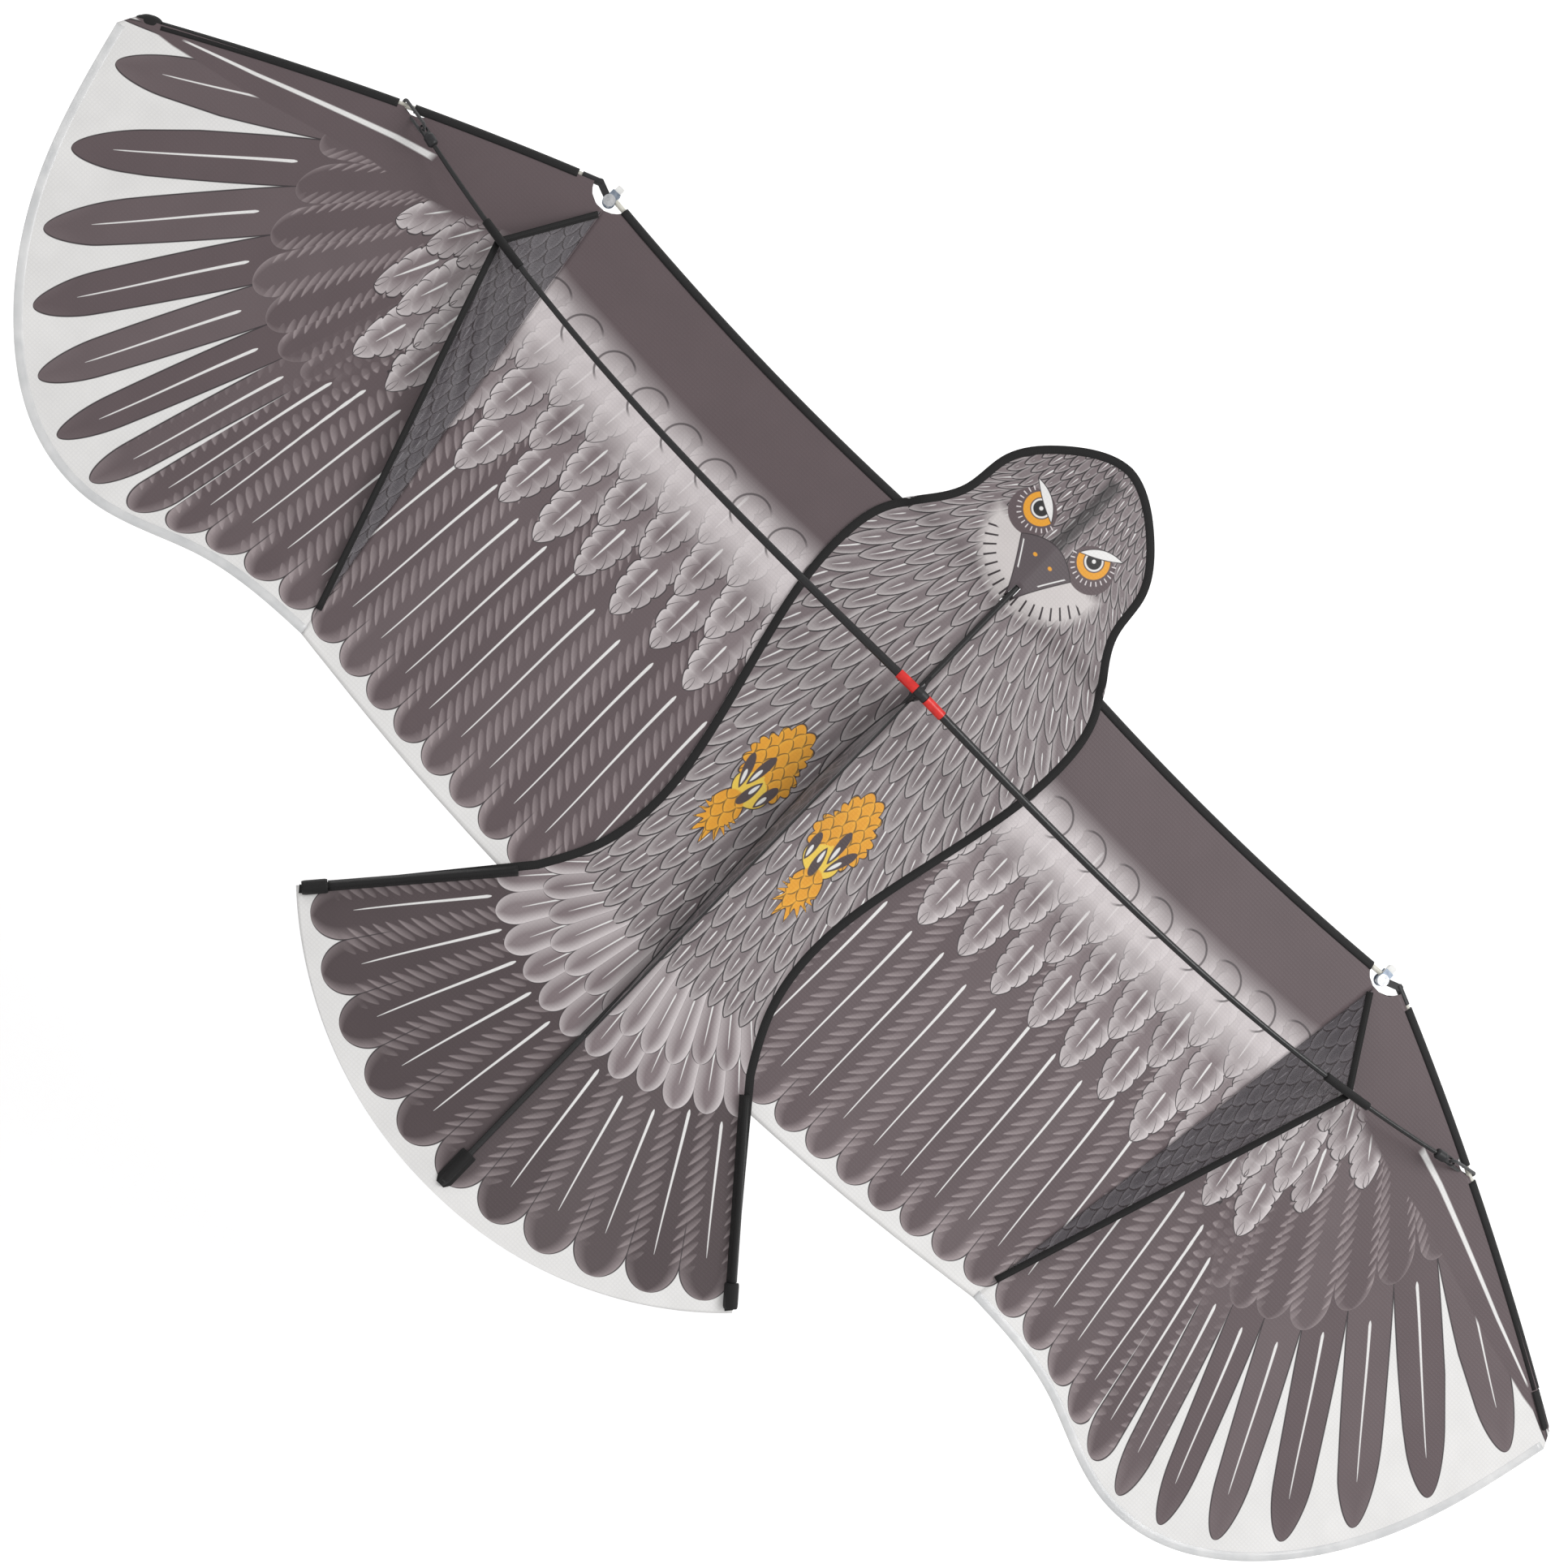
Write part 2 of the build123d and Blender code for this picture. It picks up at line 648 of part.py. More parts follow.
with BuildPart() as keel:
    with BuildSketch(side_view.offset(-keel_thick / 2)):
        with BuildLine():
            Polyline(
                (nose_rear - 0.1, keel_low),
                (-joiner_radius - 0.5, nose_top - keel_tape_width),
                (keel_rear + keel_tape_width, keel_low),
                close=True,
            )
        make_face()
    extrude(amount=keel_thick)
save(keel, "keel")

with BuildPart() as keel_tape:
    with BuildSketch(side_view.offset(-keel_tape_thick / 2)):
        with BuildLine():
            Polyline(
                (-joiner_radius - 0.45, nose_top - keel_tape_width + 0.05),
                (-joiner_radius - 0.1, nose_top),
                (keel_rear, keel_low + 2),
                (keel_rear, keel_low),
                (keel_rear + keel_tape_width, keel_low + 0.05),
                close=True,
            )
        make_face()
    extrude(amount=keel_tape_thick)
save(keel_tape, "keel_binding")

with BuildPart() as tow_eyelet:
    with BuildSketch(Plane.XZ):
        half_length = nose_thick / 2 + press_gap + eye_flange_thick
        with Locations((0, eye_bore + eye_wall / 2)):
            Rectangle(2 * half_length, eye_wall)
        for end in (-1, 1):
            with Locations((end * (half_length - eye_flange_thick / 2), (eye_bore + eye_flange) / 2)):
                Rectangle(eye_flange_thick, eye_flange - eye_bore)
    revolve(axis=Axis.X)
save(tow_eyelet, "tow_eyelet")

# Wing fins: triangles of thin cloth that stand from the seam to the spar
fin_front = place(fin_front_out, fin_front_ahead, inner_up(fin_front_out) + 1.0)
fin_rear = place(fin_rear_out, fin_rear_ahead, inner_up(fin_rear_out) + 1.0)
spar_sleeve_bore = spar_radius(spar_sleeve_start) + soft_gap
apex_drop = spar_sleeve_bore + spar_sleeve_wall + 2 * soft_gap
fin_apex = spar_point(fin_apex_out) - Vector(0, 0, apex_drop)
fin_normal = (fin_front - fin_rear).cross(fin_apex - fin_rear).normalized()
fin_plane = Plane(fin_rear, x_dir=fin_front - fin_rear, z_dir=fin_normal)
root_run = fin_plane.to_local_coords(fin_front).X
apex_along = fin_plane.to_local_coords(fin_apex).X
apex_high = fin_plane.to_local_coords(fin_apex).Y


def fin_sketch():
    """The fin's triangle, from its root seam to its apex on the spar."""
    with BuildSketch() as shape:
        with BuildLine():
            Polyline((0, 0), (root_run, 0), (apex_along, apex_high), close=True)
        make_face()
    return shape.sketch


with BuildSketch() as fin_field:
    add(fin_sketch())
    offset(amount=-fin_tape_width, kind=Kind.INTERSECTION, mode=Mode.REPLACE)
    with Locations((0, -fin_tape_width)):
        add(fin_field.sketch)
    add(fin_sketch(), mode=Mode.INTERSECT)

with BuildPart() as fin:
    with BuildSketch(fin_plane.offset(-fin_thick / 2)):
        add(fin_field.sketch)
    extrude(amount=fin_thick)
save_pair(fin, "fin")

with BuildPart() as fin_binding:
    with BuildSketch(fin_plane.offset(-fin_tape_thick / 2)):
        add(fin_sketch())
        add(fin_field.sketch, mode=Mode.SUBTRACT)
    extrude(amount=fin_tape_thick)
save_pair(fin_binding, "fin_binding")

spar_sleeve_heading = spar_heading(spar_sleeve_start + spar_sleeve_length / 2)
with BuildPart() as spar_sleeve:
    with BuildSketch(Plane(spar_point(spar_sleeve_start), z_dir=spar_sleeve_heading)):
        Circle(spar_sleeve_bore + spar_sleeve_wall)
        Circle(spar_sleeve_bore, mode=Mode.SUBTRACT)
    extrude(amount=spar_sleeve_length)
save_pair(spar_sleeve, "spar_sleeve")

# Spar end: a moulded nock with a flat eye, and the stretch cord from it round the leading rod
nock_bore_length = nock_length - 2.5
nock_heading = spar_heading(spar_reach - nock_bore_length / 2)
nock_base = spar_point(spar_reach) - nock_heading * (nock_bore_length - 0.2)
rod_heading = outer_rod_line % anchor_share
loop_radius = rod_radius + soft_gap + cord_radius
tab_reach = nock_length + nock_tab_radius + 0.6
tab_point = nock_base + nock_heading * tab_reach
cord_heading = (anchor_point - tab_point).normalized()
cord_side = (rod_heading - cord_heading * rod_heading.dot(cord_heading)).normalized()
cord_up = cord_side.cross(cord_heading)
tab_up = (cord_up - nock_heading * cord_up.dot(nock_heading)).normalized()
with BuildPart() as spar_nock:
    with BuildSketch(Plane(nock_base, z_dir=nock_heading)):
        Circle(nock_radius)
    extrude(amount=nock_length)
    fillet(spar_nock.edges().filter_by(GeomType.CIRCLE), 2.4)
    tab_start = nock_base + nock_heading * (nock_length - 2)
    tab_run = (tab_point - tab_start).length
    with BuildSketch(Plane(tab_start, x_dir=nock_heading, z_dir=tab_up).offset(-nock_tab_thick / 2)):
        with Locations((tab_run / 2, 0)):
            SlotCenterToCenter(tab_run, 2 * nock_tab_radius)
    extrude(amount=nock_tab_thick)
    with BuildSketch(Plane(tab_point, x_dir=nock_heading, z_dir=tab_up).offset(-nock_tab_thick)):
        Circle(nock_eye_radius)
    extrude(amount=2 * nock_tab_thick, mode=Mode.SUBTRACT)
    with BuildSketch(Plane(nock_base, z_dir=nock_heading)):
        Circle(spar_tip_radius + nock_gap)
    extrude(amount=nock_bore_length, mode=Mode.SUBTRACT)
save_pair(spar_nock, "spar_nock")

cord_run = (anchor_point - tab_point).length - loop_radius
cord_plane = Plane(anchor_point, x_dir=cord_heading, z_dir=cord_side)
with BuildPart() as bungee:
    with BuildLine(cord_plane) as ring:
        Line((-cord_run, loop_radius), (wrap_reach, loop_radius))
        ThreePointArc((wrap_reach, loop_radius), (wrap_reach + loop_radius, 0), (wrap_reach, -loop_radius))
        Line((wrap_reach, -loop_radius), (-cord_run, -loop_radius))
        ThreePointArc((-cord_run, -loop_radius), (-cord_run - loop_radius, 0), (-cord_run, loop_radius))
    with BuildSketch(Plane(cord_plane.from_local_coords((-cord_run, loop_radius, 0)), z_dir=cord_heading)):
        Circle(cord_radius)
    sweep()
save_pair(bungee, "bungee")

# Wrist joint: a plastic block between two plates, the rivet, and the eye on the outer rod
wrist_plane = Plane(
    wrist_point - outer_normal * rod_drop,
    x_dir=Vector(1, 0, 0) - outer_normal * outer_normal.X,
    z_dir=outer_normal,
)
half_gap = plate_gap / 2
with BuildPart() as wrist_plates:
    for low in (half_gap, -half_gap - plate_thick):
        with BuildSketch(wrist_plane.offset(low)):
            Circle(plate_corner)
            with Locations((0, plate_front / 2)):
                Rectangle(plate_width, plate_front)
            Circle(rivet_radius + press_gap, mode=Mode.SUBTRACT)
        extrude(amount=plate_thick)
save_pair(wrist_plates, "wrist_plates")

rod_into_block = wrist_plane.to_local_coords(inner_rod_line @ inner_rod_end)
rod_back = -(inner_rod_line % inner_rod_end)
with BuildPart() as wrist_block:
    with BuildSketch(wrist_plane.offset(-half_gap + press_gap)):
        with Locations((0, (block_front - block_rear) / 2)):
            RectangleRounded(block_width, block_front + block_rear, 1.2)
        Circle(rivet_radius + press_gap, mode=Mode.SUBTRACT)
    extrude(amount=plate_gap - 2 * press_gap)
    with BuildSketch(wrist_plane.offset(half_gap)):
        Circle(plate_corner + 0.5)
    extrude(amount=-block_relief, mode=Mode.SUBTRACT)
    with BuildSketch(Plane(inner_rod_line @ inner_rod_end, z_dir=rod_back)):
        Circle(rod_radius + press_gap)
    extrude(amount=2 * block_width, mode=Mode.SUBTRACT)
save_pair(wrist_block, "wrist_block")

with BuildPart() as wrist_rivet:
    with BuildSketch(wrist_plane.offset(-half_gap - plate_thick - press_gap)):
        Circle(rivet_radius)
    extrude(amount=plate_gap + 2 * plate_thick + 2 * press_gap)
    with BuildSketch(wrist_plane.offset(half_gap + plate_thick + press_gap)):
        Circle(rivet_head_radius)
    extrude(amount=rivet_head_height)
    with BuildSketch(wrist_plane.offset(-half_gap - plate_thick - press_gap)):
        Circle(rivet_head_radius * 0.8)
    extrude(amount=-rivet_head_height * 0.6)
save_pair(wrist_rivet, "wrist_rivet")

outer_start = outer_rod_line @ 0
outer_heading = outer_rod_line % 0
lug_level = half_gap - press_gap - lug_thick
start_local = wrist_plane.to_local_coords(outer_start)
with BuildPart() as rod_eye:
    with BuildSketch(Plane(outer_start - outer_heading * 1.5, z_dir=outer_heading)):
        Circle(rod_radius + press_gap + eye_socket_wall)
    extrude(amount=eye_socket_length)
    with BuildSketch(wrist_plane.offset(lug_level)):
        SlotCenterPoint((start_local.X / 2, start_local.Y / 2), (0, 0), lug_width)
        Circle(rivet_radius + running_gap, mode=Mode.SUBTRACT)
    extrude(amount=lug_thick)
    with BuildSketch(Plane(outer_start, z_dir=outer_heading)):
        Circle(rod_radius + press_gap)
    extrude(amount=eye_socket_length, mode=Mode.SUBTRACT)
save_pair(rod_eye, "outer_rod_eye")

wing_fold = 90 - degrees(atan(seam_out_share / seam_ahead_share))
print("wrist pivot", wrist_plane.origin, "axis", outer_normal)
print("spar slide axis", spar_axis)
print("seam angle", wing_fold)
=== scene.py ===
# %% [markdown]
# A hawk-shaped kite that scares birds from crops, seen from the side that carries its frame.
# The rods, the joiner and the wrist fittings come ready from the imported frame. Everything sewn is made here:
# printed cloth, binding tape, rod sleeves, pockets, fins and the keel. Surfaces are worked out with numpy as
# functions of two parameters, in millimetres, from the point under the spar crossing.

# %% Load the frame and measure it
import json
import math

import bmesh
import bpy
import numpy as np
from mathutils import Matrix

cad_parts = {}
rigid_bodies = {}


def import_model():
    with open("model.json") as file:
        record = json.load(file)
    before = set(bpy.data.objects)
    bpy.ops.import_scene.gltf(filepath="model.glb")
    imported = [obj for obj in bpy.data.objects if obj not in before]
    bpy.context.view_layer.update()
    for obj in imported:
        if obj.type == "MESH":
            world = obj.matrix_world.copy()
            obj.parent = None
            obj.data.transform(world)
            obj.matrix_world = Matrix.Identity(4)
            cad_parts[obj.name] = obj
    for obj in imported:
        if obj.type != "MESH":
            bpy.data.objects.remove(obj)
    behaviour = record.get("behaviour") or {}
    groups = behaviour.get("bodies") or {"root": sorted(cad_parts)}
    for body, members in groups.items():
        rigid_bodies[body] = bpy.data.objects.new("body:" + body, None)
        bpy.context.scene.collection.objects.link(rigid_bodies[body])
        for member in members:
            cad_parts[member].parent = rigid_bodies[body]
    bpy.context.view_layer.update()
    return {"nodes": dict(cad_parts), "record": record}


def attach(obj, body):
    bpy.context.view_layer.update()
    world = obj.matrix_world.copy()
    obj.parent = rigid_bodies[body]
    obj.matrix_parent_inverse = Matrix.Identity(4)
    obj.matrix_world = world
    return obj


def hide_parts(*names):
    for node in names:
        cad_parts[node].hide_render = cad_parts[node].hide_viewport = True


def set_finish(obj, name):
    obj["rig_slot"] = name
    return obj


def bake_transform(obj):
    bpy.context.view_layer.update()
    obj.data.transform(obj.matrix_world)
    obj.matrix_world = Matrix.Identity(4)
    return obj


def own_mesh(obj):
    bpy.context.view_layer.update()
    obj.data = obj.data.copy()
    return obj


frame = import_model()

# %% [markdown]
# The frame's origin is the tow eyelet, a little ahead of the spar crossing and above the spine.
# Sewing patterns are easier to read from the crossing itself, so each surface is made from there
# and moved as a whole when it becomes a mesh.

# %% Driving sizes in millimetres
MM = 0.001
eye_place = np.array([0.0, 7.5, 15.0])
fall = math.tan(math.radians(6.6))
half_span = 650.0
tip_ahead = -30.0
tip_lift = 5.4
wrist = np.array([356.0, 97.0])
seam_rear = np.array([301.0, -240.0])
wing_root = 60.0
crown_ahead = 206.0
tail_end = -434.0
tail_corner = np.array([193.0, -356.0])
binding_width = 5.5
slit_rear, slit_front = 86.0, 98.0
head_rise = 5.3
rod_drop = 4.0
sleeve_radius = 3.0
spar_reach, spar_height, spar_slope, spar_sag, spar_sweep = 464.0, 35.0, 0.10, 26.6, 42.0
sides = {"right": 1.0, "left": -1.0}


# %% [markdown]
# A sewn edge is a smooth curve through a few marks, as a draughtsman's spline is. A rod in its sleeve is an
# arc through three marks. Both are returned as rows of points.

# %% Curves
def spline_through(points, count):
    """Points along a natural cubic spline: each coordinate is a cubic of the distance run along the chords."""
    points = np.asarray(points, float)
    chord = np.diff(points, axis=0)
    step = np.linalg.norm(chord, axis=1)
    run = np.concatenate([[0.0], np.cumsum(step)])
    size = len(points)
    inner = np.arange(1, size - 1)
    matrix = np.eye(size)
    matrix[inner, inner - 1] = step[:-1]
    matrix[inner, inner] = 2 * (step[:-1] + step[1:])
    matrix[inner, inner + 1] = step[1:]
    load = np.zeros_like(points)
    load[inner] = 6 * (chord[1:] / step[1:, None] - chord[:-1] / step[:-1, None])
    bend = np.linalg.solve(matrix, load)
    where = np.linspace(0, run[-1], count)
    part = np.clip(np.searchsorted(run, where, side="right") - 1, 0, size - 2)
    width = step[part][:, None]
    left = (run[part + 1] - where)[:, None]
    right = (where - run[part])[:, None]
    return (
        bend[part] * left**3 / (6 * width)
        + bend[part + 1] * right**3 / (6 * width)
        + (points[part] / width - bend[part] * width / 6) * left
        + (points[part + 1] / width - bend[part + 1] * width / 6) * right
    )


def arc_through(start, middle, end, count):
    """Points along the circle through three marks, evenly spaced from the first to the last."""
    start, middle, end = (np.asarray(mark, float) for mark in (start, middle, end))
    one, two = middle - start, end - start
    normal = np.cross(one, two)
    centre = start + (np.cross(normal, one) * (two @ two) - np.cross(normal, two) * (one @ one)) / (
        2 * (normal @ normal)
    )
    first = start - centre
    radius = np.linalg.norm(first)
    across = np.cross(normal, first) / np.linalg.norm(normal)
    turn = math.atan2((end - centre) @ across, (end - centre) @ first)
    turn += 2 * math.pi * (turn < 0)
    angle = np.linspace(0, turn, count)[:, None]
    print("Arc radius in mm:", round(float(radius), 1))
    return centre + np.cos(angle) * first + np.sin(angle) * across


def along(curve, share):
    """The point at a share of a curve's length, from 0 to 1."""
    run = np.concatenate([[0.0], np.cumsum(np.linalg.norm(np.diff(curve, axis=0), axis=1))])
    return np.stack([np.interp(np.asarray(share) * run[-1], run, column) for column in curve.T], axis=-1)


# %% [markdown]
# The cloth lies in flat facets between the rods. Two facets meet at the spine and two more at the seam between
# the wing panels. Light pulls in the cloth are added as long shallow waves that die out at the rods, where the
# cloth is held.

# %% Height of the cloth
seam_run = (wrist - seam_rear) / np.linalg.norm(wrist - seam_rear)


def beyond_seam(out, ahead):
    """Distance outboard of the seam between the wing panels: a straight line's signed distance."""
    return (out - wrist[0]) * seam_run[1] - (ahead - wrist[1]) * seam_run[0]


def facet_height(out, ahead):
    """Height of the taut cloth: it falls evenly from the spine, and a little less beyond the seam."""
    out = np.abs(out)
    share = np.clip(beyond_seam(out, ahead), 0, None) / beyond_seam(half_span, tip_ahead)
    return -fall * out + tip_lift * share


def pull(out, ahead):
    """Shallow waves in the cloth: the sum of three sines, faded out near the spine and the leading edge."""
    out = np.abs(out)
    lead = 92.0 - 0.45 * np.clip(out - 356.0, 0, None)
    hold = np.clip((lead - ahead) / 60.0, 0, 1) * (1 - np.exp(-((out / 45.0) ** 2)))
    wave = (
        0.55 * np.sin(out / 19.0 + ahead / 61.0)
        + 0.45 * np.sin(ahead / 23.0 - out / 47.0)
        + 0.30 * np.sin(out / 9.0 - ahead / 90.0)
    )
    return wave * hold


def head_step(ahead):
    """The body cloth climbs over the end of the spine rod at the slit, on a smooth ramp."""
    ramp = np.clip((ahead - slit_rear) / (slit_front - slit_rear), 0, 1)
    return head_rise * ramp * ramp * (3 - 2 * ramp)


# %% [markdown]
# One function turns a grid of points into a mesh: rows of quads, with a UV map in millimetres for the weave.
# A left-hand piece is the mirror image of the right-hand one, so its faces are turned round as it is made.

# %% Grid to mesh
def grid_piece(name, points, side=1.0, wrap=False, caps=False, flat=None, left_out=None):
    """A mesh from a grid: neighbours share a quad, wrap joins the last column to the first, left_out is a hole."""
    rows, columns = points.shape[:2]
    place = (points - eye_place) * MM
    place[..., 0] *= side
    index = np.arange(rows * columns).reshape(rows, columns)
    after = np.roll(index, -1, axis=1) if wrap else index[:, 1:]
    before = index if wrap else index[:, :-1]
    quads = np.stack([before[:-1], after[:-1], after[1:], before[1:]], axis=-1)
    quads = quads.reshape(-1, 4) if left_out is None else quads[~left_out]
    if side < 0:
        quads = quads[:, ::-1]
    faces = quads.tolist()
    if caps:
        ends = [index[0][::-1].tolist(), index[-1].tolist()]
        faces += ends if side > 0 else [end[::-1] for end in ends]
    mesh = bpy.data.meshes.new(name)
    mesh.from_pydata(place.reshape(-1, 3).tolist(), [], faces)
    flat = points[..., :2] if flat is None else flat
    store_map(mesh, flat.reshape(-1, 2))
    mesh.shade_smooth()
    piece = bpy.data.objects.new(name, mesh)
    bpy.context.scene.collection.objects.link(piece)
    return piece


def store_map(mesh, flat):
    """Puts flat cloth coordinates, in millimetres, into the UV map, one pair for each face corner."""
    corner = np.empty(len(mesh.loops), dtype=np.int32)
    mesh.loops.foreach_get("vertex_index", corner)
    layer = mesh.uv_layers.new(name="flat_mm")
    layer.data.foreach_set("uv", flat[corner].astype(np.float32).ravel())


def store_field(piece, name, values):
    """Keeps three numbers for each point as an attribute that a material can read."""
    values = values.reshape(-1, 3).astype(np.float32)
    attribute = piece.data.attributes.new(name, "FLOAT_VECTOR", "POINT")
    attribute.data.foreach_set("vector", values.ravel())


# %% [markdown]
# Sleeves, pockets, cords and tapes are all a profile carried along a path. The profile is given in two
# directions square to the path: to its side, and upwards.

# %% Profile along a path
def carry(path, profile, up=(0.0, 0.0, 1.0), closed=False):
    """Grid of points: each path point plus the profile, laid out across the path and square to it."""
    path = np.asarray(path, float)
    heading = (np.roll(path, -1, 0) - np.roll(path, 1, 0)) if closed else np.gradient(path, axis=0)
    heading /= np.linalg.norm(heading, axis=1)[:, None]
    side_way = np.cross(heading, np.broadcast_to(up, heading.shape))
    side_way /= np.linalg.norm(side_way, axis=1)[:, None]
    up_way = np.cross(side_way, heading)
    profile = np.asarray(profile, float)
    if profile.ndim == 2:
        profile = np.broadcast_to(profile, (len(path),) + profile.shape)
    return (
        path[:, None]
        + profile[..., 0:1] * side_way[:, None]
        + profile[..., 1:2] * up_way[:, None]
    )


def ring(radius, count=14, flatten=1.0):
    """A round profile, going anticlockwise as seen along the path."""
    angle = np.linspace(0, -2 * math.pi, count, endpoint=False)
    return np.stack([radius * np.cos(angle), radius * flatten * np.sin(angle)], axis=-1)


def strip_map(points, wrap_last=True):
    """Flat coordinates of a carried strip: distance round the profile, and distance along the path."""
    run = np.cumsum(np.linalg.norm(np.diff(points, axis=0, prepend=points[:1]), axis=-1).mean(axis=1))
    around = np.cumsum(np.linalg.norm(np.diff(points, axis=1, prepend=points[:, :1]), axis=-1), axis=1)
    return np.stack([around, np.broadcast_to(run[:, None], around.shape)], axis=-1)


def carried_piece(name, path, profile, side=1.0, closed=False, up=(0.0, 0.0, 1.0)):
    """A closed tube: the profile carried along the path, with its ends filled unless the path is a loop."""
    points = carry(path, profile, up, closed)
    flat = strip_map(points)
    if closed:
        points = np.concatenate([points, points[:1]])
        flat = np.concatenate([flat, flat[-1:]])
    piece = grid_piece(name, points, side, wrap=True, caps=not closed, flat=flat)
    merge_points(piece)
    return piece


def merge_points(piece, upwards=False):
    """Joins points that lie in the same place, such as a row that shrinks to a pole, and turns faces outwards."""
    work = bmesh.new()
    work.from_mesh(piece.data)
    bmesh.ops.remove_doubles(work, verts=work.verts, dist=1e-6)
    bmesh.ops.recalc_face_normals(work, faces=work.faces)
    if upwards and sum(face.normal.z for face in work.faces) < 0:
        bmesh.ops.reverse_faces(work, faces=work.faces)
    work.to_mesh(piece.data)
    work.free()


# %% [markdown]
# The camera stands where the photographer's did, nearly straight above the frame side, with a long lens.
# Its place and turn were found by matching known points of the kite with the photograph.

# %% Camera
camera_data = bpy.data.cameras.new("camera")
camera = bpy.data.objects.new("camera", camera_data)
bpy.context.scene.collection.objects.link(camera)
camera_data.lens = 121.23
camera_data.sensor_width = 36.0
camera_data.clip_end = 50.0
camera_place = np.array([-0.3509, -0.5961, 3.2642])
across_view = np.array([0.704571, 0.687844, 0.1745])
up_view = np.array([-0.702624, 0.710668, 0.035642])
back_view = np.cross(across_view, up_view)
turned = np.eye(4)
turned[:3, 0] = across_view
turned[:3, 1] = up_view
turned[:3, 2] = back_view / np.linalg.norm(back_view)
turned[:3, 3] = camera_place
camera.matrix_world = Matrix(turned.tolist())
bpy.context.scene.camera = camera
print("Camera stands", round(float(np.linalg.norm(camera_place)), 2), "m away")

# %% [markdown]
# The kite hangs in the air in front of a plain white ground, so the floor is well below it and its shadow is
# soft. The world gives most of the light and one large lamp gives the cloth a little shape.

# %% Floor and light
bpy.context.scene.view_settings.view_transform = "Standard"


def floor_material():
    """Plain white paper: to the camera and in reflections it is white, elsewhere a matt pale surface."""
    material = bpy.data.materials.new("floor_paper")
    material.use_nodes = True
    tree = material.node_tree
    tree.nodes.clear()
    output = tree.nodes.new("ShaderNodeOutputMaterial")
    paper = tree.nodes.new("ShaderNodeBsdfDiffuse")
    paper.inputs["Color"].default_value = (0.92, 0.92, 0.92, 1)
    white = tree.nodes.new("ShaderNodeEmission")
    white.inputs["Color"].default_value = (1, 1, 1, 1)
    white.inputs["Strength"].default_value = 0.35
    both = tree.nodes.new("ShaderNodeAddShader")
    path = tree.nodes.new("ShaderNodeLightPath")
    seen = tree.nodes.new("ShaderNodeMath")
    seen.operation = "MAXIMUM"
    choose = tree.nodes.new("ShaderNodeMixShader")
    tree.links.new(path.outputs["Is Camera Ray"], seen.inputs[0])
    tree.links.new(path.outputs["Is Glossy Ray"], seen.inputs[1])
    tree.links.new(paper.outputs[0], both.inputs[0])
    tree.links.new(white.outputs[0], both.inputs[1])
    tree.links.new(seen.outputs[0], choose.inputs[0])
    tree.links.new(paper.outputs[0], choose.inputs[1])
    tree.links.new(both.outputs[0], choose.inputs[2])
    tree.links.new(choose.outputs[0], output.inputs["Surface"])
    return material


floor_level = -0.75
floor_reach = 9.0
floor_mesh = bpy.data.meshes.new("floor")
corners = [(-1, -1), (1, -1), (1, 1), (-1, 1)]
floor_mesh.from_pydata([(x * floor_reach, y * floor_reach, floor_level) for x, y in corners], [], [(0, 1, 2, 3)])
floor = bpy.data.objects.new("floor", floor_mesh)
bpy.context.scene.collection.objects.link(floor)
floor.data.materials.append(floor_material())

world = bpy.data.worlds.new("studio")
bpy.context.scene.world = world
world.use_nodes = True
world.node_tree.nodes["Background"].inputs["Color"].default_value = (1, 1, 1, 1)
world.node_tree.nodes["Background"].inputs["Strength"].default_value = 0.72
lamp_data = bpy.data.lights.new("soft_box", "AREA")
lamp_data.shape = "DISK"
lamp_data.size = 2.2
lamp_data.energy = 60.0
lamp = bpy.data.objects.new("soft_box", lamp_data)
lamp.location = (1.6, 1.9, 2.6)
lamp.rotation_euler = (math.radians(-38), math.radians(32), 0)
bpy.context.scene.collection.objects.link(lamp)
print("Floor lies", floor_level, "m below the tow eyelet")

# %% [markdown]
# A material's pattern is built from numbers that vary over the cloth. Writing it as arithmetic is easier to
# read than a drawing full of Math nodes, so a small class turns each operation into one node.

# %% Arithmetic with nodes
class Amount:
    """A number at each point of a surface. Each operation on it adds one Math node to its tree."""

    def __init__(self, tree, socket):
        self.tree = tree
        self.socket = socket

    def work(self, operation, *others):
        node = self.tree.nodes.new("ShaderNodeMath")
        node.operation = operation
        for position, value in enumerate((self,) + others):
            if isinstance(value, Amount):
                self.tree.links.new(value.socket, node.inputs[position])
            else:
                node.inputs[position].default_value = value
        return Amount(self.tree, node.outputs[0])

    def __add__(self, other):
        return self.work("ADD", other)

    def __sub__(self, other):
        return self.work("SUBTRACT", other)

    def __mul__(self, other):
        return self.work("MULTIPLY", other)

    def __truediv__(self, other):
        return self.work("DIVIDE", other)

    def __pow__(self, other):
        return self.work("POWER", other)

    def size(self):
        return self.work("ABSOLUTE")

    def whole(self):
        return self.work("ROUND")

    def wave(self):
        return self.work("SINE")

    def least(self, other):
        return self.work("MINIMUM", other)

    def most(self, other):
        return self.work("MAXIMUM", other)

    def less_than_one(self):
        """One minus the amount."""
        return (self * -1.0) + 1.0

    def between(self, low=0.0, high=1.0):
        return self.most(low).least(high)

    def edge(self, softness):
        """A mask that goes from 0 to 1 where the amount passes through zero."""
        return (self / softness + 0.5).between()


